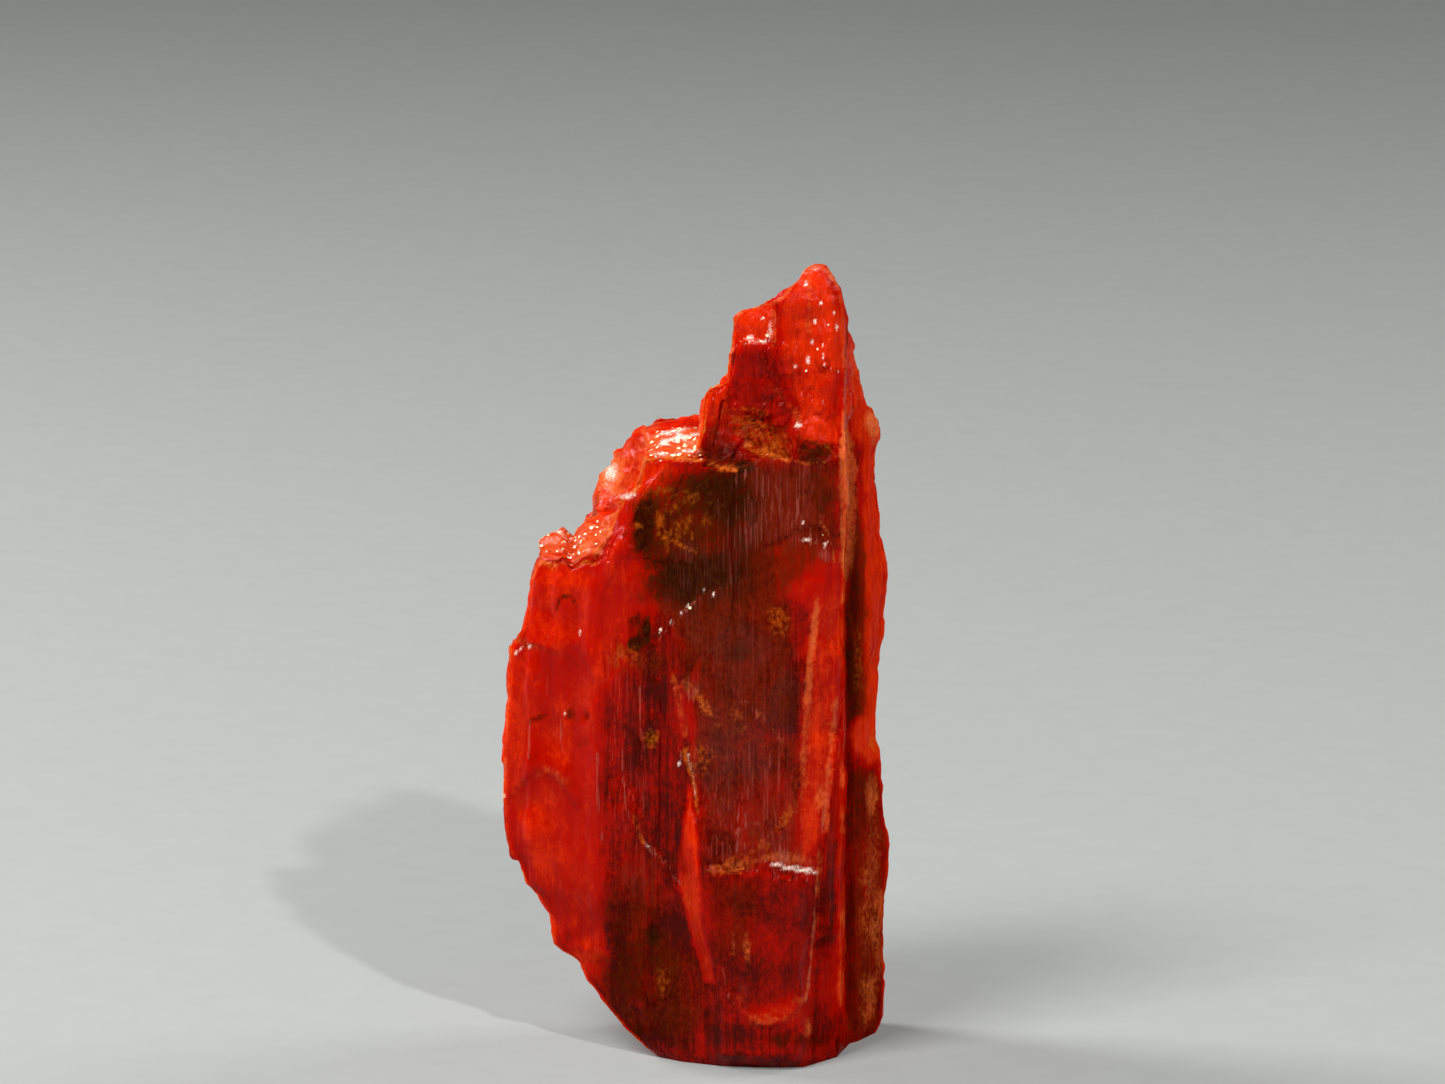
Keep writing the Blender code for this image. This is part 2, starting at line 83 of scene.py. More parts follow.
# The crystal's upright edges, in order round it from the left edge over the front. Each lists
# (height, x, depth) from the base up; the number is how many columns its face has.
EDGES = (
    ("left_front", 76, (
        (0.00, -1.00, -1.50), (0.75, -1.80, -1.40), (1.32, -2.29, -1.30), (2.06, -2.83, -1.15),
        (2.40, -2.98, -1.05), (2.84, -3.58, -0.95), (3.62, -3.70, -0.85), (4.14, -4.05, -0.80),
        (4.40, -4.38, -0.75), (4.93, -4.58, -0.70), (5.25, -4.80, -0.65), (5.70, -4.92, -0.55),
        (6.20, -4.97, -0.50), (7.00, -4.92, -0.50), (9.10, -4.80, -0.50), (10.60, -4.70, -0.50),
        (11.00, -4.42, -0.55), (11.60, -4.27, -0.55), (12.35, -4.20, -0.60), (12.70, -4.05, -0.60),
        (12.95, -3.80, -0.70), (13.15, -2.70, -1.30), (13.60, -2.25, -1.50), (14.25, -2.00, -1.60),
        (14.70, -1.80, -1.70), (15.05, -1.45, -1.80), (15.75, -1.25, -1.90), (15.95, 0.05, -2.00),
        (16.65, 0.20, -1.70), (17.10, 0.25, -1.62), (17.45, 0.33, -1.58), (17.58, 0.50, -1.56),
        (17.64, 0.84, -1.55), (18.40, 0.89, -1.50), (19.10, 0.96, -1.40), (19.28, 1.04, -1.37),
        (19.42, 1.20, -1.35), (19.52, 1.44, -1.33), (19.60, 1.90, -1.31), (19.70, 2.14, -1.30),
        (19.98, 2.36, -1.26), (20.30, 2.61, -1.21), (20.58, 2.75, -1.14), (20.70, 2.87, -1.08),
        (20.75, 2.97, -1.05))),
    ("front_shoulder", 66, (
        (0.00, -0.40, -2.00), (1.80, -1.15, -1.95), (4.40, -2.20, -1.95), (7.00, -2.45, -1.90),
        (11.70, -2.45, -1.90), (13.00, -2.15, -2.00), (14.80, -1.35, -2.15), (15.70, -0.65, -2.20),
        (15.95, 0.45, -2.10), (17.20, 0.70, -1.85), (18.40, 1.15, -1.70), (19.60, 1.65, -1.55),
        (20.30, 2.55, -1.35), (20.75, 3.00, -1.15))),
    ("front_middle", 84, (
        (0.00, 0.65, -2.45), (2.15, 0.55, -2.45), (5.80, -0.20, -2.50), (9.60, -0.10, -2.50),
        (14.60, 0.40, -2.50), (15.80, 0.85, -2.50), (16.20, 1.10, -2.20), (17.20, 1.75, -2.00),
        (18.60, 1.95, -1.85), (19.75, 2.25, -1.65), (20.30, 2.75, -1.40), (20.75, 3.15, -1.20))),
    ("bevel", 20, (
        (0.00, 2.25, -2.60), (5.00, 2.40, -2.65), (7.00, 2.50, -2.70), (8.00, 2.70, -2.70),
        (10.40, 3.00, -2.70), (12.30, 3.30, -2.65), (15.75, 3.40, -2.60), (16.20, 3.45, -2.30),
        (18.00, 3.50, -1.95), (19.80, 3.45, -1.60), (20.75, 3.22, -1.20))),
    ("right_ridge", 12, (
        (0.00, 2.90, -2.50), (1.80, 3.00, -2.50), (5.00, 3.20, -2.45), (7.50, 3.40, -2.40),
        (9.00, 3.55, -2.35), (11.00, 3.68, -2.30), (15.80, 3.78, -2.25), (16.30, 3.78, -2.05),
        (19.55, 3.80, -1.25), (20.15, 3.65, -1.15), (20.45, 3.51, -1.10), (20.75, 3.34, -1.10))),
    ("right_flank", 26, (
        (0.00, 3.75, -1.50), (5.00, 3.80, -1.60), (9.00, 3.82, -1.95), (15.80, 3.84, -1.70),
        (19.20, 3.84, -0.90), (20.10, 3.67, -0.90), (20.75, 3.28, -1.00))),
    ("groove", 8, (
        (0.00, 4.10, -0.10), (0.90, 3.88, 0.15), (7.50, 3.80, 0.25), (15.50, 3.82, 0.20),
        (17.20, 3.82, -0.10), (18.85, 3.83, -0.60), (20.10, 3.64, -0.75), (20.75, 3.26, -0.95))),
    ("rear_blade_front", 18, (
        (0.00, 4.30, 0.10), (0.90, 4.15, 0.05), (7.50, 4.10, 0.10), (11.50, 4.25, 0.10),
        (15.20, 4.15, 0.25), (16.20, 4.25, 0.30), (17.20, 4.00, 0.10), (18.85, 3.83, -0.40),
        (20.10, 3.60, -0.65), (20.75, 3.24, -0.92))),
    ("right_outer", 16, (
        (0.00, 4.78, 1.00), (1.70, 4.96, 1.20), (3.50, 4.94, 1.20), (3.95, 5.00, 1.20),
        (4.65, 5.05, 1.20), (5.90, 4.98, 1.20), (7.20, 4.75, 1.10), (7.75, 4.64, 1.10),
        (9.55, 4.76, 1.20), (10.70, 4.88, 1.20), (11.60, 4.98, 1.20), (13.50, 4.77, 1.10),
        (15.30, 4.62, 1.00), (15.90, 4.76, 1.00), (16.25, 4.70, 0.90), (16.70, 4.38, 0.75),
        (17.50, 4.18, 0.60), (18.35, 4.02, 0.35), (18.90, 3.85, 0.00), (19.55, 3.78, -0.20),
        (20.10, 3.60, -0.45), (20.75, 3.20, -0.88))),
    ("right_rear", 20, (
        (0.00, 4.10, 2.20), (7.50, 4.25, 2.50), (14.50, 4.20, 2.40), (16.00, 4.05, 2.00),
        (17.30, 3.70, 1.25), (18.90, 3.55, 0.40), (20.10, 3.35, -0.30), (20.75, 3.14, -0.86))),
    ("rear_middle", 10, (
        (0.00, 1.90, 2.45), (6.00, 1.70, 2.90), (13.50, 1.75, 2.80), (15.20, 2.00, 2.50),
        (16.10, 2.30, 1.80), (17.30, 2.60, 1.00), (18.90, 2.85, 0.20), (20.10, 3.00, -0.45),
        (20.75, 3.08, -0.90))),
    ("rear_valley", 10, (
        (0.00, 1.05, 2.00), (6.00, 0.80, 2.30), (13.50, 0.75, 2.15), (15.20, 1.00, 1.95),
        (16.10, 1.55, 1.55), (17.30, 2.15, 0.90), (18.90, 2.45, 0.10), (19.80, 2.75, -0.45),
        (20.75, 3.06, -0.92))),
    ("rear_lobe_right", 24, (
        (0.00, 0.60, 2.35), (6.00, 0.05, 2.85), (13.50, -0.10, 2.72), (15.20, 0.20, 2.45),
        (16.10, 0.95, 1.80), (17.30, 1.78, 0.98), (18.90, 2.15, 0.08), (19.80, 2.62, -0.42),
        (20.75, 3.04, -0.94))),
    ("rear_lobe", 16, (
        (0.00, 0.00, 2.25), (3.40, -1.90, 2.55), (6.00, -3.30, 2.40), (11.50, -2.90, 2.55),
        (13.90, -2.25, 2.55), (14.80, -1.90, 2.45), (15.30, -1.55, 2.35), (15.75, -1.00, 2.20),
        (15.95, -0.10, 1.95), (16.15, 0.90, 1.50), (17.30, 1.60, 0.75), (18.90, 1.95, 0.00),
        (19.80, 2.50, -0.45), (20.75, 3.03, -0.95))),
    ("rear_left", 12, (
        (0.00, -0.75, 1.40), (3.40, -3.05, 1.50), (5.60, -4.45, 1.30), (8.80, -4.40, 1.30),
        (11.50, -3.85, 1.45), (12.90, -3.22, 1.52), (13.35, -2.88, 1.57), (13.65, -2.66, 1.60),
        (14.05, -2.68, 1.60), (14.35, -2.56, 1.60), (14.65, -2.42, 1.60), (15.20, -2.05, 1.60),
        (15.56, -1.66, 1.60), (15.99, -1.00, 1.52), (16.12, 0.10, 1.40), (16.30, 0.75, 0.95),
        (17.30, 0.92, 0.30), (18.90, 1.40, -0.30), (19.75, 2.20, -0.70), (20.75, 3.02, -1.00))),
    ("left_rear", 12, (
        (0.00, -1.10, 0.10), (1.70, -2.50, 0.25), (3.45, -3.40, 0.45), (5.00, -4.35, 0.45),
        (6.00, -4.85, 0.40), (10.40, -4.60, 0.40), (10.90, -4.35, 0.40), (12.50, -4.05, 0.50),
        (13.05, -4.00, 0.55), (13.26, -3.82, 0.60), (13.42, -3.40, 0.60), (13.55, -2.90, 0.50),
        (13.80, -2.40, 0.40), (14.30, -1.85, 0.15), (15.05, -1.30, 0.05), (15.85, -1.05, -0.05),
        (16.05, -0.65, 0.00), (16.20, 0.15, -0.05), (17.10, 0.38, -0.75), (17.36, 0.52, -0.78),
        (17.44, 0.88, -0.80), (18.30, 0.97, -0.85), (19.15, 1.14, -0.90), (19.32, 1.60, -0.92),
        (19.50, 2.24, -0.95), (20.10, 2.60, -0.98), (20.75, 3.05, -1.02))),
)
NAMES = [name for name, _, _ in EDGES]
FRONT_FACES = ("left_front", "front_shoulder", "front_middle", "bevel")
CALM_FACES = FRONT_FACES + ("left_rear", "right_flank", "groove", "rear_blade_front", "right_outer")

# Rows stand closest where the crystal steps in: how many there are, how much a step draws them
# together, and how far in millimetres that is spread. A step's speed is taken at so many heights, as
# the mean of its fastest edges, up to a most, and is blurred over so many of those heights each way.
ROWS = 230
ROW_GAIN = 0.55
ROW_BLUR = 0.12
ROW_SAMPLES = 2000
ROW_EDGES = 3
ROW_FASTEST = 8.0
ROW_WINDOW = 60

# The fracture across the front, above which the face drops back: (x, height)
FRACTURE_LINE = (
    (-1.25, 16.00), (0.10, 15.92), (0.65, 15.70), (1.00, 15.60), (1.14, 15.66), (1.28, 16.14),
    (1.60, 16.05), (2.10, 15.90), (2.42, 15.78), (2.62, 15.95), (2.95, 16.20), (3.25, 16.10),
    (3.80, 16.00))
# The line's jags: how far and how wide they are, and their row in the noise. Then how far the face
# drops, over which heights above the line it does, and where it comes forward again
FRACTURE_JAG = 0.07
FRACTURE_JAG_WIDTH = 0.16
FRACTURE_JAG_ROW = 9.5
FRACTURE_DROP = 0.26
FRACTURE_SLOPE = (-0.02, 0.10)
DROP_FADE = (16.5, 18.5)
# Where the front's relief fades out at its left and right ends, and all relief at the base and tip
FADE_LEFT = 1.60
FADE_RIGHT = 0.50
BASE_FADE = (0.0, 0.5)
TIP_FADE = (19.15, 20.55)

# The upright groove between the two lumps of the peak: its middle, half width, depth and ends, and
# how long it runs out at its lower and upper end
PEAK_GROOVE_X = 2.12
PEAK_GROOVE_HALF = 0.20
PEAK_GROOVE_DEPTH = 0.05
PEAK_GROOVE_ENDS = (17.2, 19.9)
PEAK_GROOVE_TAPER = (0.8, 0.4)

# The proud block low on the right of the front: the height of its top at one x and its slope there,
# how proud the block is, and how wide its upper rim and its left side are
BLOCK_TOP = 5.12
BLOCK_TOP_X = 2.5
BLOCK_TOP_SLOPE = -0.16
BLOCK_PROUD = 0.16
BLOCK_RIM = 0.10
BLOCK_SIDE = 0.8
# The narrow slanted facet down the block's left side: (height, x) of its edge, how proud it is, how
# wide its slope is, how far it reaches to the right, and the heights where it ends and is full
SLIVER_LINE = (
    (2.15, 0.55), (3.60, 0.15), (4.40, -0.05), (5.70, -0.25), (6.50, -0.22), (7.60, -0.15))
SLIVER_PROUD = 0.30
SLIVER_WIDTH = 0.40
SLIVER_REACH = 4.5
SLIVER_TOP = 7.60
SLIVER_FULL = 5.80

# Growth steps: seed, how many, their half widths, lengths, depth, and how soft their edges are
BROAD_STEPS = dict(seed=11, count=60, half_width=(0.18, 0.75), length=(4.0, 15.0), depth=0.21,
                   soft=0.13)
FINE_STEPS = dict(seed=23, count=340, half_width=(0.05, 0.28), length=(0.8, 7.0), depth=0.045,
                  soft=0.03)
# The heights between which they start, how long their ends run out, their share on the calm faces,
# and where they fade out below the peak
STEP_STARTS = (-3.0, 13.0)
STEP_TAPER = 0.3
STEP_CALM_SHARE = 0.30
STEP_FADE = (14.8, 16.0)
# The blades at the back end unevenly: how far up or down, how wide and in how many levels the ends
# are, the heights over which this sets in and stops, and the noise's seed and row
REAR_FACES = ("right_rear", "rear_middle", "rear_valley", "rear_lobe_right", "rear_lobe")
REAR_JAG = 0.55
REAR_JAG_WIDTH = 0.55
REAR_JAG_LEVELS = 1.5
REAR_JAG_SPAN = ((13.4, 15.0), (16.2, 18.2))
REAR_JAG_SEED = 91
REAR_JAG_ROW = 0.5
# Ledges: how far they face up where they start and are whole, how uneven that border is, and over
# which heights they set in above the base
LEDGE_TILT = (0.30, 0.65)
LEDGE_WOBBLE = 0.10
LEDGE_START = (1.0, 2.0)
# The peak's lower border: its heights, how far it wanders at the back, and over what cells
PEAK_BORDER = (15.9, 16.5)
PEAK_WANDER = 0.9
PEAK_WANDER_CELL = (0.7, 0.7, 4.0)
# How far the peak's broken tip stays below the solid's, and where that starts and ends
TIP_DROP = 0.16
TIP_DROP_SPAN = (19.0, 20.6)

# Lumps of the fracture surfaces: their cells, depth and levels, how many of them the faces, ledges
# and peak have, where the peak's set in, how wide a face has to be for all of them, and how much and
# where they calm down towards the tip
LUMP_SEED = 5
LUMP_CELL = 0.95
LUMP_DEPTH = 0.24
LUMP_TERRACES = 2.5
LUMPS_ON_FACES = 0.25
LUMPS_ON_LEDGES = 1.2
LUMPS_ON_PEAK = 0.6
LUMPS_PEAK_START = (15.8, 17.0)
LUMP_FACE_WIDTH = (0.0, 1.3)
PEAK_CALM = 0.6
PEAK_SPAN = (16.5, 19.5)

# Striations: (width, length, depth) of each size of ribs, in how many levels they step, and between
# which shares of a level its slope lies
STRIATIONS = ((0.14, 4.0, 0.020), (0.33, 6.0, 0.026), (0.80, 9.0, 0.030))
STRIATION_LEVELS = 2.0
STRIATION_SLOPE = (0.1, 0.9)
STRIATION_SEED = 31
# Splinters of the broken places, and the long flat facets of the grown ones: (size, depth)
HACKLE = ((0.62, 0.13), (0.27, 0.060), (0.13, 0.024))
HACKLE_SEED = 47
LEDGE_STRETCH = 2.4
BLADE_FACETS = ((0.85, 0.045), (0.40, 0.020))
BLADE_STRETCH = 3.5
BLADE_SEED = 53
# How many cells along each pattern is read, which settles where on the crystal its cells lie, and
# how many rows of cells further the next size of ribs is
NOISE_SHIFT = 20.0
STRIATION_SHIFT = 7.0
FACET_SHIFT = 40.0
CHIP_SHIFT = 5.0
STRIATION_ROWS = 3.0
# How many cells a side the random numbers have on a plane and in space, and those of the facets
NOISE_SIDES = {2: 256, 3: 48}
FACET_SIDES = 32


def ramp(value, low, high):
    """0 below low, 1 above high and a smooth rise between."""
    t = np.clip((value - low) / (high - low), 0.0, 1.0)
    return t * t * (3.0 - 2.0 * t)


def blended(table, place):
    """Values of a table of random numbers at any place, blended smoothly between its cells. The
    table repeats past its ends."""
    cell = np.floor(place).astype(int)
    t = place - cell
    t = t * t * (3.0 - 2.0 * t)
    axes = range(place.shape[-1])
    total = np.zeros(place.shape[:-1])
    for corner in np.ndindex(*(2,) * place.shape[-1]):
        index = tuple((cell[..., a] + corner[a]) % table.shape[a] for a in axes)
        weight = np.prod([t[..., a] if corner[a] else 1.0 - t[..., a] for a in axes], axis=0)
        total += weight * table[index]
    return total


def noise(place, seed):
    """Smooth random values from -1 to 1 with one cell to a unit of place."""
    axes = place.shape[-1]
    table = np.random.default_rng(seed).uniform(-1.0, 1.0, (NOISE_SIDES[axes],) * axes)
    return blended(table, place)


def terraced(value, levels, low=0.2, high=0.8):
    """The value in flat levels with short slopes between them."""
    step = np.floor(value * levels)
    return (step + ramp(value * levels - step, low, high)) / levels


def facets(place, seed):
    """Flat splinters: space is cut into cells round random points, and the value in a cell is a
    level of its own plus a rise along a direction of its own."""
    rng = np.random.default_rng(seed)
    sides = (FACET_SIDES,) * 3
    seeds = rng.uniform(0.0, 1.0, sides + (3,))
    slopes = rng.uniform(-1.0, 1.0, sides + (3,))
    levels = rng.uniform(-0.5, 0.5, sides)
    cell = np.floor(place).astype(int)
    nearest = np.full(place.shape[:-1], np.inf)
    value = np.zeros(place.shape[:-1])
    for step in np.ndindex(3, 3, 3):
        near = cell + np.array(step) - 1
        index = tuple(near[..., a] % FACET_SIDES for a in range(3))
        off = place - near - seeds[index]
        reach = (off * off).sum(axis=-1)
        closer = reach < nearest
        nearest = np.where(closer, reach, nearest)
        value = np.where(closer, levels[index] + (off * slopes[index]).sum(axis=-1), value)
    return value


def row_heights():
    """Heights of the rows, from the base to the apex. Their density grows with how fast the edges
    step in or out there."""
    fine = np.linspace(0.0, APEX_HEIGHT, ROW_SAMPLES)
    places = np.stack([edge_at(number, fine) for number in range(len(EDGES))])
    speed = np.linalg.norm(np.gradient(places, fine, axis=1), axis=-1)
    near = np.arange(-ROW_WINDOW, ROW_WINDOW + 1) * (fine[1] - fine[0])
    window = np.exp(-((near / ROW_BLUR) ** 2))
    fastest = np.sort(speed, axis=0)[-ROW_EDGES:].mean(axis=0)
    speed = np.convolve(fastest, window / window.sum(), "same")
    density = 1.0 + ROW_GAIN * np.minimum(speed, ROW_FASTEST)
    share = np.concatenate([[0.0], np.cumsum(0.5 * (density[1:] + density[:-1]))])
    rows = np.interp(np.linspace(0.0, share[-1], ROWS), share, fine)
    return np.insert(rows[rows > CHIP_AT_BASE], 0, (0.0, CHIP_AT_BASE))


def edge_at(number, heights):
    """Places (x, depth) of one of the crystal's edges at the given heights."""
    z, x, y = np.array(EDGES[number % len(EDGES)][2]).T
    return np.stack([np.interp(heights, z, x), np.interp(heights, z, y)], axis=-1)


def columns():
    """Each column's face, its share of the way over that face and its place round the crystal in
    millimetres at half height, then the place where each face ends."""
    face, share, around, ends = [], [], [], []
    start = 0.0
    middle = APEX_HEIGHT / 2
    for number, (_, count, _) in enumerate(EDGES):
        width = np.hypot(*(edge_at(number + 1, middle) - edge_at(number, middle)))
        steps = np.arange(count) / count
        face.append(np.full(count, number))
        share.append(steps)
        around.append(start + width * steps)
        start += width
        ends.append(start)
    return np.concatenate(face), np.concatenate(share), np.concatenate(around), ends


def loft(heights, face, share):
    """Points (rows, columns, 3) on the straight faces between the crystal's edges, and how wide the
    faces are there."""
    edges = np.stack([edge_at(number, heights) for number in range(len(EDGES) + 1)], axis=1)
    here, after = edges[:, face], edges[:, face + 1]
    flat = here + (after - here) * share[None, :, None]
    height = np.broadcast_to(heights[:, None, None], flat.shape[:2] + (1,))
    width = np.linalg.norm(after - here, axis=-1)
    return np.concatenate([flat, height], axis=-1), np.minimum(width, np.roll(width, 1, axis=1))


def outward(points):
    """Unit normals of the grid: the cross product of its steps round and up, facing out."""
    along = np.roll(points, -1, axis=1) - np.roll(points, 1, axis=1)
    up = np.gradient(points, axis=0)
    normal = np.cross(along, up)
    return normal / np.maximum(np.linalg.norm(normal, axis=-1, keepdims=True), 1e-9)


def straight_places(points, face):
    """Each point's place round the crystal, measured straight along its own face, so that a line of
    one place is upright at every height. At half height it equals the columns' place."""
    middle = np.array([edge_at(number, APEX_HEIGHT / 2) for number in range(len(EDGES) + 1)])
    step = np.diff(middle, axis=0)
    width = np.linalg.norm(step, axis=-1)
    along = step / width[:, None]
    start = np.concatenate([[0.0], np.cumsum(width)])
    return start[face] + ((points[..., :2] - middle[face]) * along[face]).sum(axis=-1)


def growth_steps(place, girth, height, seed, count, half_width, length, depth, soft):
    """Long upright strips, each a little proud of its face or sunk in it: the sum of smooth boxes,
    each of its own place, width, length and depth."""
    rng = np.random.default_rng(seed)
    relief = np.zeros(place.shape)
    for _ in range(count):
        centre = rng.uniform(0.0, girth)
        half = rng.uniform(*half_width)
        low = rng.uniform(*STEP_STARTS)
        high = low + rng.uniform(*length)
        proud = rng.uniform(-depth, depth)
        off = np.abs((place - centre + girth / 2) % girth - girth / 2)
        across = 1.0 - ramp(off, half - soft, half + soft)
        starts = ramp(height, low, low + STEP_TAPER)
        relief += proud * across * starts * (1.0 - ramp(height, high - STEP_TAPER, high))
    return relief


def front_relief(around, front_end, x, height):
    """The fracture drop, peak groove, sliver facet and proud block of the broad front face."""
    line = np.interp(x, *np.array(FRACTURE_LINE).T)
    jags = np.stack([x / FRACTURE_JAG_WIDTH, np.full(x.shape, FRACTURE_JAG_ROW)], axis=-1)
    line += FRACTURE_JAG * noise(jags, LUMP_SEED)
    relief = -FRACTURE_DROP * ramp(height - line, *FRACTURE_SLOPE) * (1.0 - ramp(height, *DROP_FADE))
    low, high = PEAK_GROOVE_ENDS
    lower, upper = PEAK_GROOVE_TAPER
    ends = ramp(height, low, low + lower) * (1.0 - ramp(height, high - upper, high))
    groove = 1.0 - ramp(np.abs(x - PEAK_GROOVE_X), 0.0, PEAK_GROOVE_HALF)
    relief -= PEAK_GROOVE_DEPTH * ends * groove
    edge = np.interp(height, *np.array(SLIVER_LINE).T)
    rise = ramp(-height, -SLIVER_TOP, -SLIVER_FULL)
    across = np.clip((x - edge) / SLIVER_WIDTH + 0.5, 0.0, 1.0)
    across *= np.clip(1.0 - (x - edge) / SLIVER_REACH, 0.0, 1.0)
    relief += SLIVER_PROUD * rise * across
    top = BLOCK_TOP + BLOCK_TOP_SLOPE * (x - BLOCK_TOP_X)
    block = ramp(top - height, 0.0, BLOCK_RIM)
    relief += BLOCK_PROUD * block * np.clip((x - edge) / BLOCK_SIDE, 0.0, 1.0)
    fade = ramp(around, 0.0, FADE_LEFT) * (1.0 - ramp(around, front_end - FADE_RIGHT, front_end))
    return relief * fade


def solid_surface(face, share, around, ends):
    """The solid's own surface on the fine grid: the loft, its broad growth steps, its lumps and the
    relief of its front."""
    points, width = loft(row_heights(), face, share)
    normal = outward(points)
    height = points[..., 2]
    calm = np.isin(face, [NAMES.index(name) for name in CALM_FACES])
    relief = growth_steps(straight_places(points, face), ends[-1], height, **BROAD_STEPS)
    relief *= np.where(calm, STEP_CALM_SHARE, 1.0) * (1.0 - ramp(height, *STEP_FADE))
    broken = LUMPS_ON_FACES + LUMPS_ON_LEDGES * np.maximum(normal[..., 2], 0.0)
    broken = np.clip(broken + LUMPS_ON_PEAK * ramp(height, *LUMPS_PEAK_START), 0.0, 1.0)
    broken *= (1.0 - PEAK_CALM * ramp(height, *PEAK_SPAN)) * ramp(width, *LUMP_FACE_WIDTH)
    lumps = noise(points / LUMP_CELL + NOISE_SHIFT, LUMP_SEED)
    relief += LUMP_DEPTH * broken * terraced(lumps, LUMP_TERRACES)
    ends_flat = ramp(height, *BASE_FADE) * (1.0 - ramp(height, *TIP_FADE))
    front_end = ends[NAMES.index(FRONT_FACES[-1])]
    proud = front_relief(around, front_end, points[..., 0], height)
    points = points + normal * (relief * ends_flat)[..., None]
    points[..., 1] -= proud * ends_flat
    return points, width


class Surface:
    """The crystal's fine surface while it is worked on: its points, and what the relief and the
    stains need to know about each of them."""

    def __init__(self):
        self.face, share, around, ends = columns()
        self.points, self.width = solid_surface(self.face, share, around, ends)
        self.points[..., 2] -= TIP_DROP * ramp(self.points[..., 2], *TIP_DROP_SPAN)
        cell = np.stack([straight_places(self.points, self.face) / REAR_JAG_WIDTH,
                         np.full(self.width.shape, REAR_JAG_ROW)], axis=-1)
        jag = REAR_JAG * terraced(noise(cell, REAR_JAG_SEED), REAR_JAG_LEVELS) * self.on(*REAR_FACES)
        height = self.points[..., 2]
        starts, stops = REAR_JAG_SPAN
        self.points[..., 2] += jag * ramp(height, *starts) * (1.0 - ramp(height, *stops))
        self.girth = ends[-1]
        self.measure()
        facing = self.normal[..., 2] * math.sin(SIGHT_ELEVATION)
        facing -= self.normal[..., 1] * math.cos(SIGHT_ELEVATION)
        self.seen = ramp(facing, *SEEN_SPAN)

    def measure(self):
        """Works out the normals, each point's place in the photograph in pixels, across and down,
        and how far it is on a ledge and on the peak, 0 to 1."""
        self.normal = outward(self.points)
        self.x, self.y, self.z = np.moveaxis(self.points, -1, 0)
        aim_x, _, aim_z = SIGHT_AIM
        up = (self.z - aim_z) * math.cos(SIGHT_ELEVATION) + self.y * math.sin(SIGHT_ELEVATION)
        nearer = (self.z - aim_z) * math.sin(SIGHT_ELEVATION) - self.y * math.cos(SIGHT_ELEVATION)
        scale = PIXELS * SIGHT_DISTANCE / (SIGHT_DISTANCE - nearer)
        self.across = PIXEL_MIDDLE + PIXELS * aim_x + scale * (self.x - aim_x)
        self.down = PIXEL_BASE - PIXELS * aim_z * math.cos(SIGHT_ELEVATION) - scale * up
        tilt = self.normal[..., 2] + LEDGE_WOBBLE * noise(self.points / LUMP_CELL, LUMP_SEED)
        self.ledge = ramp(tilt, *LEDGE_TILT) * ramp(self.z, *LEDGE_START)
        wander = PEAK_WANDER * noise(self.points / PEAK_WANDER_CELL, LUMP_SEED)
        self.peak = ramp(self.z + wander * (1.0 - self.on(*FRONT_FACES)), *PEAK_BORDER)

    def on(self, *names):
        """1 on the named faces and 0 elsewhere."""
        return np.isin(self.face, [NAMES.index(name) for name in names])[None, :] * 1.0

    def push(self, relief):
        """Moves the points out along their normals."""
        self.points = self.points + self.normal * relief[..., None]


# Marks in the view, in pixels: the two sizes of noise that make their outlines uneven and how strong
# the smaller is, and between which shares of their half width spots and strokes fade out
MARK_CELL = 13.0
MARK_FINE_CELL = 5.0
MARK_FINE = 0.6
MARK_EDGE = (0.2, 1.3)
# Where the noise makes strokes weaker and how much of them stays there, and how soft a patch has to
# be to have all of its noise
STROKE_CELL = 21.0
STROKE_GAPS = (-0.6, 0.1)
STROKE_LEAST = 0.4
PATCH_RAGGED_FROM = 8.0


def uneven(surface, seed):
    """Noise in the view, in two sizes, which makes the outline of a mark uneven."""
    view = np.stack([surface.across, surface.down], axis=-1)
    return noise(view / MARK_CELL, seed) + MARK_FINE * noise(view / MARK_FINE_CELL, seed + 1)


def in_spots(surface, places, ragged=0.3, seed=3):
    """Soft ellipses in the view, joined: each lists (across, down, half width, half height,
    strength)."""
    wobble = ragged * uneven(surface, seed)
    rest = np.ones(surface.x.shape)
    for across, down, half_width, half_height, strength in places:
        reach = np.hypot((surface.across - across) / half_width, (surface.down - down) / half_height)
        rest *= 1.0 - strength * (1.0 - ramp(reach + wobble, *MARK_EDGE))
    return 1.0 - rest


def from_path(surface, path):
    """How far each point is in the view from a path of (across, down), and on which side of it: 1
    to the right of its direction and -1 to the left."""
    reach = np.full(surface.x.shape, np.inf)
    side = np.zeros(surface.x.shape)
    for (x0, y0), (x1, y1) in zip(path, path[1:]):
        dx, dy = x1 - x0, y1 - y0
        off_x, off_y = surface.across - x0, surface.down - y0
        along = np.clip((off_x * dx + off_y * dy) / (dx * dx + dy * dy), 0.0, 1.0)
        off = np.hypot(off_x - along * dx, off_y - along * dy)
        side = np.where(off < reach, np.sign(off_y * dx - off_x * dy), side)
        reach = np.minimum(reach, off)
    return reach, side


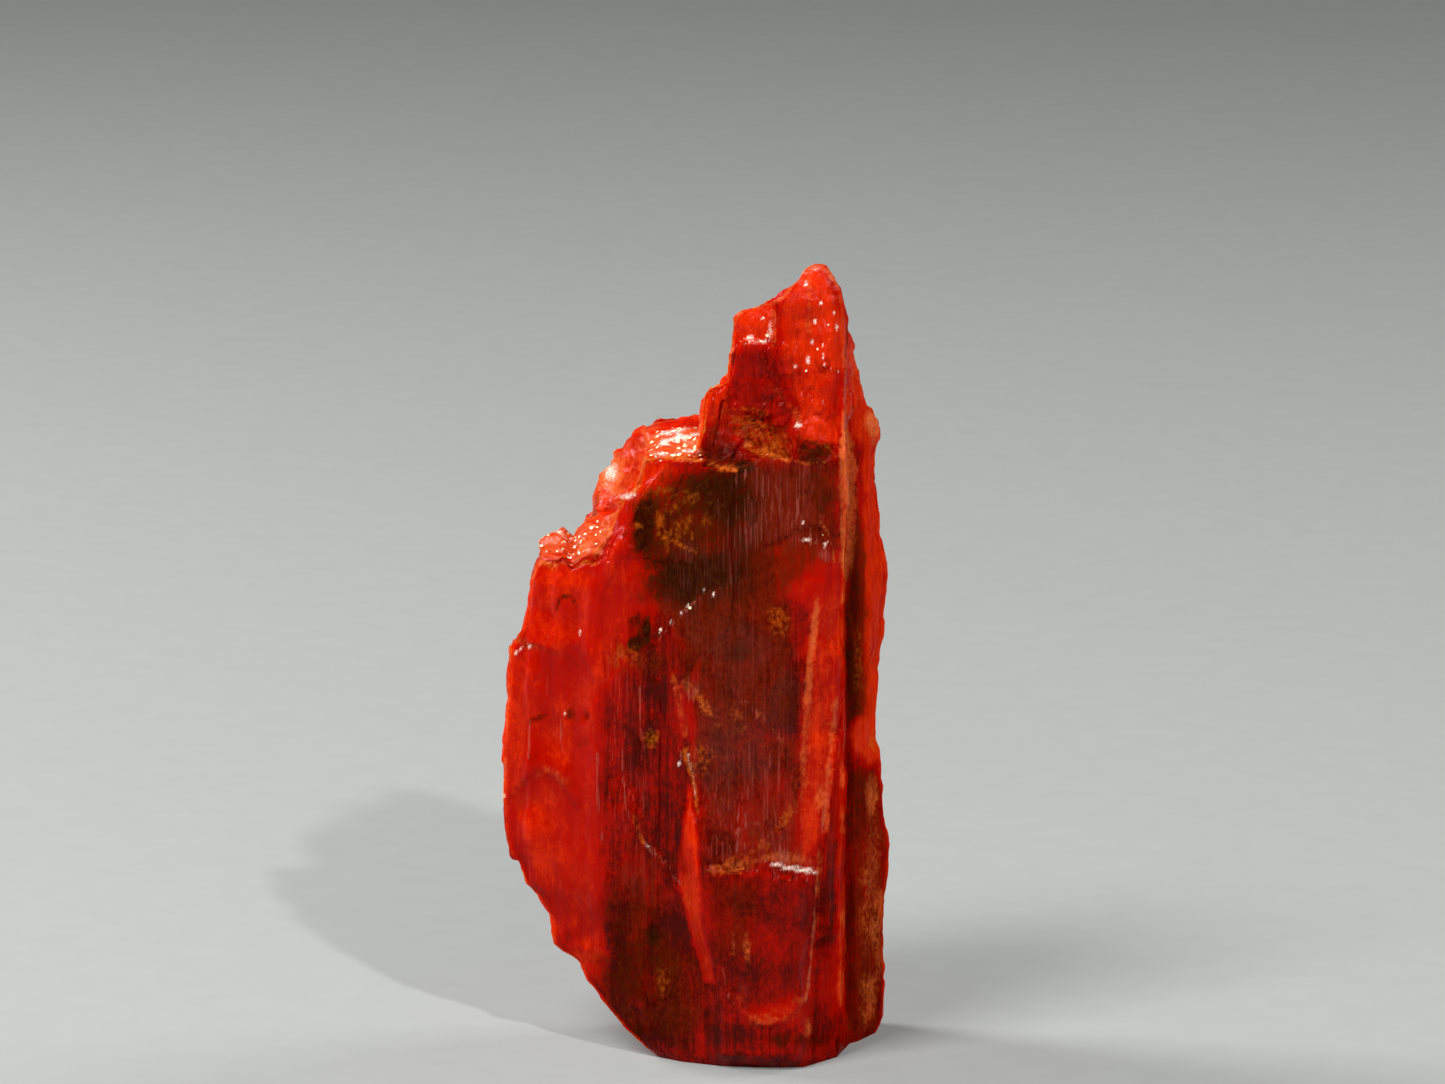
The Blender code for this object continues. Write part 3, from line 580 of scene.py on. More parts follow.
def in_strokes(surface, paths, ragged=0.45, seed=7):
    """Soft lines in the view, joined: each lists (half width, strength, ((across, down), ...)), and
    noise weakens it here and there."""
    wobble = ragged * uneven(surface, seed)
    view = np.stack([surface.across, surface.down], axis=-1)
    kept = ramp(noise(view / STROKE_CELL, seed + 2), *STROKE_GAPS)
    kept = STROKE_LEAST + (1.0 - STROKE_LEAST) * kept
    rest = np.ones(surface.x.shape)
    for half, strength, path in paths:
        reach, _ = from_path(surface, path)
        rest *= 1.0 - strength * kept * (1.0 - ramp(reach / half + wobble, *MARK_EDGE))
    return 1.0 - rest


def in_patches(surface, outlines, ragged=4.0, seed=11):
    """Soft-edged areas in the view, joined: each lists (softness, strength, ((across, down), ...)).
    The strength falls off over twice the softness across the outline; a point is inside where its
    row crosses the outline an odd number of times to one side of it."""
    wobble = ragged * uneven(surface, seed)
    rest = np.ones(surface.x.shape)
    for soft, strength, outline in outlines:
        closed = outline + outline[:1]
        reach, _ = from_path(surface, closed)
        inside = np.zeros(surface.x.shape, dtype=bool)
        for (x0, y0), (x1, y1) in zip(closed, closed[1:]):
            if y0 == y1:
                continue
            crosses = (surface.down < y0) != (surface.down < y1)
            at = x0 + (surface.down - y0) * (x1 - x0) / (y1 - y0)
            inside ^= crosses & (surface.across < at)
        depth = np.where(inside, reach, -reach) + wobble * min(1.0, soft / PATCH_RAGGED_FROM)
        rest *= 1.0 - strength * ramp(depth, -soft, soft)
    return 1.0 - rest


def marks(surface, patches=(), spots=(), strokes=()):
    """All marks of one kind, joined, on the surfaces that the photograph shows."""
    rest = (1.0 - in_patches(surface, patches)) * (1.0 - in_spots(surface, spots))
    return (1.0 - rest * (1.0 - in_strokes(surface, strokes))) * surface.seen


# Where the ribs are strongest, and where the faces are smooth
STRIATED = dict(
    patches=((10.0, 0.9, ((742, 460), (818, 462), (820, 540), (800, 556), (742, 545))),
             (14.0, 0.4, ((690, 480), (745, 470), (760, 700), (690, 720), (660, 600)))),
    spots=((622, 740, 35, 110, 0.6), (730, 820, 40, 50, 0.6), (655, 900, 40, 90, 0.45)))
SMOOTH = dict(
    patches=((10.0, 0.85, ((540, 562), (598, 562), (622, 610), (618, 690), (596, 760), (596, 930),
                           (500, 800), (500, 640))),
             (8.0, 0.75, ((706, 886), (818, 882), (806, 1000), (740, 1020), (704, 960))),
             (8.0, 0.85, ((775, 548), (842, 545), (840, 640), (800, 620), (776, 600))),
             (8.0, 0.75, ((728, 350), (772, 350), (792, 420), (735, 412))),
             (16.0, 0.45, ((690, 600), (800, 600), (800, 860), (700, 870)))),
    spots=((808, 310, 40, 70, 0.8), (756, 325, 26, 22, 0.8)))

# Small steps in the front: (how proud in millimetres, how far the proud side reaches in pixels,
# path). The side to the right of the path's direction is proud.
PLACED_STEPS = (
    (0.055, 85, ((596, 700), (622, 660), (658, 640), (689, 606), (706, 591), (738, 582))),
    (0.180, 30, ((732, 352), (745, 338), (772, 346))),
    (0.110, 60, ((772, 410), (776, 350), (778, 296))),
    (0.045, 24, ((728, 385), (727, 420), (722, 452))),
    (0.075, 40, ((775, 372), (790, 396), (800, 425), (797, 442))),
    (0.045, 45, ((698, 664), (690, 700), (694, 740), (690, 790))),
    (0.045, 36, ((702, 692), (722, 722), (745, 740), (783, 742), (795, 800))),
    (0.065, 34, ((832, 532), (812, 526), (796, 531), (776, 541))),
    (0.090, 30, ((548, 649), (530, 643), (508, 637))),
    (0.060, 24, ((573, 801), (558, 778), (537, 770), (514, 793))),
    (0.050, 30, ((592, 672), (581, 649), (557, 645), (542, 672))),
    (0.050, 36, ((600, 700), (599, 794), (600, 895))),
    (0.045, 30, ((640, 770), (631, 868))),
    (0.060, 30, ((630, 790), (642, 817), (657, 848), (675, 880))),
    (0.060, 26, ((746, 973), (745, 926))),
    (0.070, 24, ((806, 1002), (783, 1024), (761, 1028), (746, 1019), (734, 1005))),
    (0.050, 40, ((655, 560), (622, 556), (600, 600), (604, 660))),
    (0.040, 20, ((528, 760), (529, 722))),
    (0.045, 22, ((640, 748), (640, 688))))
# How far to each side of the path a step's break reaches, and where its proud side starts to fall
STEP_BREAK = 1.2
STEP_LEVEL = 2.0
# The scooped break above the fracture on the front: the middle of its ripples, its outline, its depth
# and the ripples' depth in millimetres, and their width in pixels
FAN_MIDDLE = (731.0, 461.0)
FAN_SCOOP = ((7.0, 1.0, ((727, 413), (747, 409), (787, 425), (802, 442), (792, 458), (750, 453),
                         (735, 432))),)
FAN_DEPTH = 0.13
FAN_RIPPLE = 0.030
FAN_RIPPLE_WIDTH = 7.0
# Lumps of the peak and the left wedge: (across, down, half width, half height, how proud), and
# between which shares of their half width they fade out
BULGES = (
    (752, 322, 22, 20, 0.18), (808, 296, 34, 28, 0.12), (812, 400, 24, 40, 0.10),
    (716, 404, 15, 22, 0.18), (751, 374, 22, 30, -0.09), (824, 350, 16, 30, 0.08),
    (795, 330, 9, 46, -0.07), (808, 345, 14, 20, -0.05), (551, 540, 17, 12, 0.22),
    (585, 532, 15, 10, 0.10), (556, 605, 32, 42, 0.06), (530, 690, 27, 35, 0.08),
    (562, 740, 26, 40, -0.05), (530, 830, 20, 30, 0.07), (575, 870, 26, 34, 0.06),
    (640, 585, 18, 26, 0.06))
BULGE_EDGE = (0.2, 1.0)
# The saddle between the knob on the left wedge and the main blade, in millimetres: its x, half
# width and depth, and the heights over which it sets in and stops
SADDLE = (-3.08, 0.30, 0.36, (12.75, 13.10), (13.55, 13.95))
# The line down the peak where it splits: its path and half width in pixels, and its depth
PEAK_SPLIT = ((775, 400), (778, 350), (776, 300))
PEAK_SPLIT_HALF = 7.0
PEAK_SPLIT_DEPTH = 0.05
# Chips along the upright edges: their depth, (cell, share) of each size, the noise where they start
# and are whole, the edges, how far from them chips reach, how much the inner edges have, and the
# share of a reach next to the edge where they are whole
CHIP_SEED = 61
CHIP_DEPTH = 0.075
CHIP_SIZES = ((0.90, 0.55), (0.24, 0.45))
CHIP_NOISE = (0.1, 0.6)
OUTER_EDGES = ("left_front", "right_outer", "rear_left", "left_rear")
INNER_EDGES = ("bevel", "right_ridge")
OUTER_CHIP_REACH = 0.26
INNER_CHIP_REACH = 0.20
INNER_CHIPS = 0.3
EDGE_CORE = 0.3
# Pits: (across, down, half width, half height, strength)
PITS = (
    (652, 738, 5, 7, 1.0), (587, 717, 5, 8, 0.7), (570, 716, 5, 7, 0.6), (640, 628, 5, 16, 1.0),
    (631, 633, 4, 12, 0.8), (617, 640, 4, 10, 0.7), (640, 535, 15, 22, 0.8),
    (712, 486, 22, 18, 0.7), (692, 578, 24, 18, 0.5), (655, 935, 12, 14, 0.7),
    (747, 463, 12, 6, 0.7))
PIT_DEPTH = 0.10
# Ribs: their share where none are marked, and how much smooth places and the peak take away
RIBS_LEAST = 0.35
RIBS_OFF_SMOOTH = 0.85
RIBS_OFF_PEAK = 0.65
# Splinters: their share on grown faces and what the peak adds, and how much smooth places take away.
# Then how much the peak takes away from the chips
SPLINTERS_LEAST = 0.05
SPLINTERS_ON_PEAK = 0.45
SPLINTERS_OFF_SMOOTH = 0.5
CHIPS_OFF_PEAK = 0.6
# How wide a face has to be for all of its placed breaks, splinters, ledge plates and chips
BREAKS_WIDTH = 0.7
SPLINTERS_WIDTH = 0.9
PLATES_WIDTH = 0.5
CHIPS_WIDTH = 0.8
# The heights over which all fine relief sets in above the base and stops below the tip
FINE_START = (0.0, 0.4)
FINE_STOP = (20.3, 20.7)


def striations(surface):
    """Upright ribs: terraced noise of the place round the crystal, stretched up its height, in three
    sizes added up."""
    place = straight_places(surface.points, surface.face)
    relief = np.zeros(place.shape)
    for number, (width, length, depth) in enumerate(STRIATIONS):
        cell = np.stack([place / width + STRIATION_SHIFT,
                         surface.z / length + STRIATION_ROWS * number], axis=-1)
        ribs = noise(cell, STRIATION_SEED + number)
        relief += depth * terraced(ribs, STRIATION_LEVELS, *STRIATION_SLOPE)
    return relief


def splinters(points, sizes, seed):
    """Broken crystal's facets in several sizes, added up."""
    relief = np.zeros(points.shape[:-1])
    for number, (size, depth) in enumerate(sizes):
        relief += depth * facets(points / size + FACET_SHIFT, seed + number)
    return relief


def near_edges(surface, reach, names):
    """1 on the named upright edges and 0 further from them than the reach."""
    near = np.zeros(surface.x.shape)
    for name in names:
        edge = edge_at(NAMES.index(name), surface.z)
        off = np.hypot(surface.x - edge[..., 0], surface.y - edge[..., 1])
        near = np.maximum(near, 1.0 - ramp(off, EDGE_CORE * reach, reach))
    return near


def placed_relief(surface):
    """The front's own breaks: small steps, lumps, the split of the peak, the rippled scoop above the
    fracture and the pits."""
    relief = np.zeros(surface.x.shape)
    for proud, span, path in PLACED_STEPS:
        reach, side = from_path(surface, path)
        step = ramp(reach * side, -STEP_BREAK, STEP_BREAK)
        relief += proud * step * (1.0 - ramp(reach, STEP_LEVEL, span))
    for across, down, half_width, half_height, proud in BULGES:
        reach = np.hypot((surface.across - across) / half_width, (surface.down - down) / half_height)
        relief += proud * (1.0 - ramp(reach, *BULGE_EDGE))
    reach, _ = from_path(surface, PEAK_SPLIT)
    relief -= PEAK_SPLIT_DEPTH * (1.0 - ramp(reach, 0.0, PEAK_SPLIT_HALF))
    scoop = in_patches(surface, FAN_SCOOP)
    across, down = FAN_MIDDLE
    rings = np.hypot(surface.across - across, surface.down - down) / FAN_RIPPLE_WIDTH
    relief -= scoop * (FAN_DEPTH - FAN_RIPPLE * np.sin(2.0 * np.pi * rings))
    return (relief - PIT_DEPTH * in_spots(surface, PITS)) * surface.seen * surface.on(*FRONT_FACES)


def fine_relief(surface):
    """Adds everything finer than the solid: the placed breaks, ribs, growth steps, long flat facets,
    splinters of the broken places, and chips."""
    upright = 1.0 - surface.ledge
    relief = placed_relief(surface) * ramp(surface.width, 0.0, BREAKS_WIDTH)
    smooth = marks(surface, **SMOOTH)
    ribbed = RIBS_LEAST + (1.0 - RIBS_LEAST) * marks(surface, **STRIATED)
    ribbed *= (1.0 - RIBS_OFF_SMOOTH * smooth) * (1.0 - RIBS_OFF_PEAK * surface.peak)
    relief += striations(surface) * ribbed * upright
    place = straight_places(surface.points, surface.face)
    steps = growth_steps(place, surface.girth, surface.z, **FINE_STEPS)
    relief += steps * upright * ribbed * (1.0 - ramp(surface.z, *STEP_FADE))
    rest = 1.0 - SPLINTERS_OFF_SMOOTH * smooth
    long = surface.points / (1.0, 1.0, BLADE_STRETCH)
    relief += splinters(long, BLADE_FACETS, BLADE_SEED) * upright * rest
    rough = SPLINTERS_LEAST + SPLINTERS_ON_PEAK * surface.peak * rest * upright
    rough = splinters(surface.points, HACKLE, HACKLE_SEED) * rough
    relief += rough * ramp(surface.width, 0.0, SPLINTERS_WIDTH)
    plates = splinters(surface.points / (LEDGE_STRETCH, 1.0, 1.0), HACKLE, HACKLE_SEED)
    relief += plates * surface.ledge * ramp(surface.width, 0.0, PLATES_WIDTH)
    bites = sum(share * ramp(noise(surface.points / cell + CHIP_SHIFT, CHIP_SEED), *CHIP_NOISE)
                for cell, share in CHIP_SIZES)
    inner = near_edges(surface, INNER_CHIP_REACH, INNER_EDGES)
    bites *= near_edges(surface, OUTER_CHIP_REACH, OUTER_EDGES) + INNER_CHIPS * inner
    bites *= ramp(surface.width, 0.0, CHIPS_WIDTH) * (1.0 - CHIPS_OFF_PEAK * surface.peak)
    relief -= CHIP_DEPTH * bites
    surface.push(relief * ramp(surface.z, *FINE_START) * (1.0 - ramp(surface.z, *FINE_STOP)))
    middle, half, depth, low, high = SADDLE
    dip = 1.0 - ramp(np.abs(surface.x - middle), 0.0, half)
    dip *= ramp(surface.z, *low) * (1.0 - ramp(surface.z, *high))
    surface.points[..., 2] -= depth * dip


def stand(surface):
    """Cuts the base off flat and takes the sharp corner off round it."""
    points = surface.points
    points[..., 2] = np.clip(points[..., 2], 0.0, APEX_HEIGHT)
    points[0, :, 2] = 0.0
    centre = points[0].mean(axis=0)
    spread = np.linalg.norm(points[0] - centre, axis=-1, keepdims=True)
    points[0] += (centre - points[0]) / spread * CHIP_INSET


# Painted light: where light comes through the crystal, painted as a glow with painted highlights at
# the right blade's top, and where it is deep and dark, which also holds painted shade along the base,
# under the knob left of the peak and down the right side
BRIGHT = dict(
    patches=(
        (15.0, 0.64, ((530, 562), (596, 560), (612, 540), (640, 486), (652, 462), (694, 466),
                      (672, 498), (648, 508), (622, 556), (655, 560), (656, 610), (622, 650),
                      (600, 700), (600, 800), (596, 930), (560, 930), (498, 800), (498, 640))),
        (8.0, 0.45, ((775, 548), (842, 540), (842, 650), (812, 600), (776, 598))),
        (6.0, 0.75, ((815, 592), (838, 600), (836, 760), (820, 840), (802, 860), (802, 800),
                     (808, 700))),
        (8.0, 0.40, ((806, 690), (836, 700), (830, 750), (802, 750))),
        (2.6, 1.00, ((690, 786), (697, 840), (700, 880), (700, 904), (701, 924), (705, 944),
                     (711, 960), (716, 984), (706, 982), (698, 958), (692, 938), (688, 918),
                     (682, 900), (679, 870), (682, 835))),
        (8.0, 0.88, ((790, 372), (838, 372), (838, 444), (804, 440), (798, 415))),
        (9.0, 0.92, ((780, 300), (816, 262), (842, 300), (842, 372), (788, 372))),
        (5.0, 0.92, ((736, 308), (776, 304), (774, 340), (734, 340))),
        (5.0, 0.70, ((706, 388), (728, 386), (727, 424), (704, 424))),
        (5.0, 0.95, ((846, 290), (866, 330), (880, 400), (880, 440), (848, 440))),
        (4.0, 0.90, ((862, 330), (886, 400), (886, 720), (862, 716))),
        (6.0, 0.95, ((846, 736), (858, 714), (886, 708), (886, 756), (868, 764), (852, 750))),
        (3.0, 0.40, ((838, 740), (844, 740), (844, 1010), (836, 1010)))),
    spots=((590, 950, 26, 26, 0.8), (775, 1015, 34, 14, 0.5), (868, 880, 12, 60, 0.35),
           (640, 470, 60, 60, 0.6), (874, 422, 10, 16, 1.0), (680, 712, 8, 34, 0.35),
           (802, 834, 18, 28, 0.5), (532, 870, 20, 40, 0.3), (828, 985, 12, 30, 0.5)),
    strokes=((3.0, 0.9, ((843, 330), (845, 460), (843, 560))),
             (5.0, 0.6, ((838, 540), (839, 640), (838, 720))),
             (3.0, 0.9, ((843, 560), (843, 700), (842, 800), (840, 1000))),
             (5.0, 0.7, ((532, 566), (512, 640), (507, 720), (503, 800), (510, 842), (526, 882),
                         (560, 930))),
             (4.0, 0.6, ((809, 272), (809, 330))),
             (4.0, 0.5, ((700, 660), (690, 700), (694, 760)))))
# Thick dark crystal, and painted shade along the base, under the knob left of the peak and down the
# right side
DEEP_AND_SHADED = dict(
    patches=(
        (16.0, 0.64, ((618, 900), (680, 900), (694, 960), (704, 1000), (690, 1045), (620, 1045),
                      (612, 960))),
        (14.0, 0.34, ((640, 660), (668, 660), (672, 780), (690, 870), (660, 890), (640, 800))),
        (12.0, 0.45, ((706, 610), (790, 630), (800, 760), (740, 800), (712, 760))),
        (5.0, 0.36, ((822, 868), (832, 780), (834, 950), (826, 1040), (812, 1040))),
        (5.0, 0.55, ((728, 350), (774, 352), (792, 412), (735, 414))),
        (5.0, 0.55, ((703, 426), (730, 420), (736, 462), (702, 462)))),
    spots=((792, 700, 9, 60, 0.5), (742, 654, 16, 14, 0.6), (740, 775, 30, 22, 0.5),
           (730, 905, 22, 60, 0.35), (770, 940, 40, 50, 0.25), (745, 1035, 60, 14, 0.7),
           (688, 1010, 26, 40, 0.5), (650, 1024, 66, 30, 0.80), (610, 830, 8, 90, 0.35),
           (632, 740, 7, 60, 0.4), (650, 700, 9, 50, 0.5), (574, 660, 22, 20, 0.35),
           (552, 672, 20, 22, 0.30), (530, 770, 10, 30, 0.28), (575, 790, 12, 40, 0.30),
           (560, 900, 18, 26, 0.25), (545, 700, 9, 16, 0.25), (600, 590, 9, 40, 0.25)))
# Iron stains: olive black, brown and ochre. Along the base the olive is a painted shadow, and the
# olive and brown also darken the groove on the right
OLIVE = dict(
    patches=(
        (10.0, 0.46, ((688, 474), (740, 468), (752, 500), (740, 524), (712, 520), (690, 500))),
        (8.0, 0.84, ((634, 506), (650, 500), (658, 530), (650, 560), (634, 552))),
        (10.0, 0.50, ((664, 560), (726, 552), (742, 574), (716, 594), (676, 606), (656, 590))),
        (16.0, 0.56, ((642, 500), (672, 470), (740, 465), (760, 500), (752, 590), (690, 616),
                      (640, 580))),
        (16.0, 0.12, ((740, 465), (800, 468), (812, 540), (770, 600), (740, 600))),
        (5.0, 0.72, ((796, 441), (812, 440), (834, 446), (836, 458), (812, 464), (798, 460))),
        (7.0, 0.36, ((850, 530), (862, 560), (862, 716), (846, 722), (844, 600))),
        (8.0, 0.40, ((846, 768), (872, 768), (872, 835), (846, 840)))),
    spots=((741, 466, 14, 9, 0.9), (824, 498, 9, 18, 0.5), (816, 474, 12, 12, 0.35),
           (653, 930, 7, 26, 0.62), (648, 1000, 22, 12, 0.45), (616, 938, 8, 26, 0.45),
           (640, 960, 36, 50, 0.32), (850, 920, 6, 120, 0.4), (866, 990, 12, 26, 0.3),
           (742, 655, 12, 12, 0.5), (587, 717, 5, 8, 0.7), (848, 650, 5, 90, 0.4),
           (570, 716, 5, 7, 0.45), (652, 738, 5, 7, 1.0), (578, 742, 12, 8, 0.25),
           (610, 1030, 60, 10, 0.5), (800, 1040, 40, 8, 0.6)),
    strokes=((8.5, 1.00, ((642, 620), (637, 640))), (3.5, 0.8, ((631, 622), (630, 645))),
             (3.5, 0.8, ((648, 610), (646, 640))), (4.0, 0.45, ((617, 630), (616, 647))),
             (3.4, 0.60, ((556, 610), (558, 601), (564, 596), (571, 597), (577, 606))),
             (3.0, 0.6, ((530, 722), (545, 716)))))
BROWN = dict(
    patches=(
        (16.0, 0.75, ((650, 490), (700, 462), (838, 465), (838, 545), (780, 600), (690, 640),
                      (640, 600))),
        (14.0, 0.60, ((700, 600), (790, 600), (800, 720), (700, 740), (680, 660))),
        (9.0, 0.60, ((727, 413), (747, 411), (785, 425), (800, 440), (790, 459), (750, 454),
                     (735, 432))),
        (5.0, 0.40, ((704, 424), (730, 418), (738, 452), (732, 466), (704, 462))),
        (12.0, 0.45, ((700, 730), (800, 740), (800, 860), (704, 870))),
        (10.0, 0.45, ((708, 880), (760, 880), (750, 960), (716, 950))),
        (13.0, 0.62, ((848, 762), (886, 784), (886, 1044), (846, 1044))),
        (5.0, 0.80, ((857, 500), (865, 540), (866, 716), (846, 722), (848, 600)))),
    spots=((640, 900, 40, 80, 0.5), (650, 660, 40, 24, 0.45), (640, 980, 50, 50, 0.5),
           (680, 990, 36, 50, 0.45), (650, 1024, 60, 24, 0.45)))
# The ochre's golden lines along the fracture's lip, the ledges' rims and the left edges are painted
# light
OCHRE = dict(
    patches=(
        (9.0, 0.24, ((727, 413), (747, 411), (785, 425), (800, 440), (790, 459), (750, 454),
                     (735, 432))),
        (14.0, 0.10, ((640, 500), (672, 474), (716, 470), (732, 500), (724, 548), (690, 566),
                      (650, 556))),
        (8.0, 0.30, ((766, 608), (790, 606), (790, 632), (770, 634)))),
    spots=((659, 521, 5, 12, 0.62), (672, 508, 9, 6, 0.32), (690, 500, 14, 7, 0.12),
           (637, 527, 10, 5, 0.55), (678, 528, 12, 10, 0.30), (707, 521, 7, 10, 0.16),
           (688, 518, 9, 4, 0.34), (660, 490, 12, 5, 0.26), (645, 508, 7, 4, 0.30),
           (625, 655, 22, 16, 0.30), (674, 680, 6, 11, 0.30), (742, 728, 9, 6, 0.40),
           (735, 716, 10, 8, 0.45), (747, 952, 4, 22, 0.30), (731, 953, 3, 10, 0.25),
           (775, 1014, 30, 10, 0.16), (772, 447, 12, 6, 0.35), (748, 420, 14, 5, 0.25),
           (687, 899, 6, 12, 0.30), (652, 738, 9, 11, 0.50), (872, 742, 7, 12, 0.45),
           (858, 660, 7, 50, 0.22), (872, 812, 9, 22, 0.28), (864, 875, 10, 16, 0.25),
           (866, 925, 10, 30, 0.28), (876, 905, 6, 40, 0.18), (874, 424, 9, 15, 0.20),
           (758, 432, 24, 12, 0.15), (700, 760, 16, 22, 0.35), (868, 990, 10, 40, 0.25),
           (662, 985, 10, 22, 0.26)),
    strokes=((2.6, 0.95, ((644, 459), (672, 457), (703, 461), (720, 468), (735, 470))),
             (3.2, 0.95, ((746, 446), (762, 452), (776, 456), (788, 460))),
             (2.0, 0.65, ((798, 437), (814, 440), (828, 447), (836, 456))),
             (1.8, 0.45, ((790, 460), (806, 464), (826, 462))),
             (3.2, 0.85, ((634, 816), (638, 831), (643, 842))),
             (2.0, 0.60, ((696, 800), (698, 812))),
             (2.2, 0.50, ((722, 412), (734, 408), (752, 410), (766, 414))),
             (5.0, 0.46, ((686, 684), (700, 700), (720, 728))),
             (8.0, 0.32, ((800, 770), (791, 808), (775, 832), (742, 864), (714, 872))),
             (1.6, 0.60, ((657, 534), (672, 541), (686, 548), (696, 553))),
             (1.6, 0.45, ((664, 530), (668, 552))), (1.5, 0.40, ((692, 520), (692, 540))),
             (1.6, 0.16, ((668, 498), (684, 492), (702, 497))),
             (3.2, 0.70, ((684, 752), (692, 775), (697, 800))),
             (2.5, 0.80, ((646, 458), (638, 487), (624, 500), (615, 516), (606, 540), (593, 560))),
             (4.0, 0.70, ((540, 562), (556, 566), (576, 562), (594, 563))),
             (1.8, 0.50, ((537, 564), (527, 590), (520, 620), (511, 640), (509, 660))),
             (3.0, 0.50, ((508, 637), (530, 646), (552, 650)))))
# A painted sheen, the grey-lilac reflection on the ribs; the cloudy salmon places, which also hold
# painted highlights and a painted glow along the peak's outline; the painted highlights of the
# hair-thin ribs that catch the light; and the crushed pale places, with painted glints
PAINTED_SHEEN = dict(
    patches=(
        (16.0, 0.50, ((700, 640), (800, 640), (804, 860), (706, 868), (690, 760))),
        (22.0, 0.56, ((742, 462), (824, 462), (824, 545), (742, 548))),
        (16.0, 0.40, ((672, 540), (742, 540), (770, 640), (700, 650), (660, 610))),
        (5.0, 0.60, ((842, 440), (856, 450), (860, 520), (845, 570)))),
    spots=((740, 740, 44, 44, 0.5), (690, 686, 12, 12, 0.8), (722, 744, 18, 12, 0.6),
           (792, 862, 30, 10, 0.8), (822, 556, 10, 8, 0.8), (643, 790, 8, 26, 0.6),
           (640, 870, 30, 40, 0.35), (682, 890, 22, 40, 0.25), (800, 930, 14, 60, 0.2),
           (870, 900, 14, 130, 0.35), (760, 1000, 40, 30, 0.2)))
SALMON = dict(
    patches=(
        (4.0, 0.52, ((645, 436), (700, 424), (703, 458), (668, 455), (648, 462))),
        (6.0, 0.50, ((538, 528), (600, 518), (616, 520), (600, 556), (560, 556), (538, 560))),
        (5.0, 0.60, ((842, 424), (853, 440), (858, 500), (852, 560), (843, 600))),
        (9.0, 0.13, ((808, 600), (838, 606), (840, 720), (832, 800), (808, 866), (790, 860),
                     (800, 760)))),
    spots=((610, 470, 15, 24, 0.90), (650, 430, 30, 8, 0.3), (808, 1030, 6, 12, 0.6),
           (820, 800, 7, 14, 0.45), (747, 946, 5, 24, 0.34), (733, 944, 4, 22, 0.24),
           (872, 880, 12, 70, 0.32), (878, 940, 8, 60, 0.30), (868, 1000, 10, 40, 0.34),
           (871, 795, 8, 22, 0.45), (874, 424, 9, 14, 1.00), (786, 858, 36, 8, 0.4)),
    strokes=((3.4, 0.56, ((818, 598), (814, 630), (810, 660), (808, 700))),
             (2.2, 0.50, ((704, 432), (705, 405), (710, 388), (726, 375), (731, 352))),
             (4.5, 0.40, ((807, 700), (804, 750), (801, 790))),
             (2.0, 0.50, ((819, 850), (816, 900), (812, 948), (806, 1003))),
             (1.6, 0.60, ((818, 520), (828, 532), (833, 548), (834, 562))),
             (5.5, 0.26, ((700, 700), (716, 718), (728, 738))),
             (4.5, 0.28, ((760, 716), (774, 732), (788, 750))),
             (5.5, 0.24, ((674, 682), (680, 706), (684, 734))),
             (2.0, 0.50, ((537, 564), (527, 590), (520, 620), (511, 640), (509, 680), (507, 720),
                          (505, 760), (502, 800), (503, 822), (512, 850), (524, 880), (532, 902),
                          (546, 926), (560, 950), (576, 974))),
             (2.6, 0.55, ((732, 350), (733, 322), (741, 311), (752, 307), (774, 303), (786, 294),
                          (796, 282))),
             (3.2, 0.60, ((796, 282), (806, 271), (818, 265), (828, 272), (838, 286), (842, 300))),
             (6.0, 0.20, ((514, 793), (530, 800), (545, 796))),
             (6.0, 0.20, ((536, 775), (550, 770), (566, 784), (570, 802))),
             (4.5, 0.55, ((842, 300), (845, 380), (845, 470), (843, 560))),
             (5.0, 0.45, ((850, 350), (860, 385), (866, 425))),
             (3.5, 0.55, ((836, 700), (830, 760), (824, 850))),
             (1.6, 0.70, ((644, 459), (672, 457), (703, 461), (720, 468), (735, 470))),
             (1.8, 0.65, ((746, 446), (762, 452), (776, 456), (788, 460))),
             (2.6, 0.45, ((842, 760), (843, 900), (841, 1005))),
             (8.0, 0.34, ((736, 1004), (748, 1014), (763, 1021), (783, 1017), (802, 1002))),
             (5.0, 0.34, ((706, 872), (730, 868), (752, 862), (770, 858))),
             (4.5, 0.35, ((809, 275), (809, 330))),
             (2.5, 0.50, ((774, 312), (773, 345))),
             (4.0, 0.40, ((770, 386), (782, 398), (794, 408), (801, 424))),
             (3.0, 0.55, ((841, 440), (841, 500), (842, 560))),
             (6.0, 0.40, ((872, 408), (877, 422), (876, 440)))))
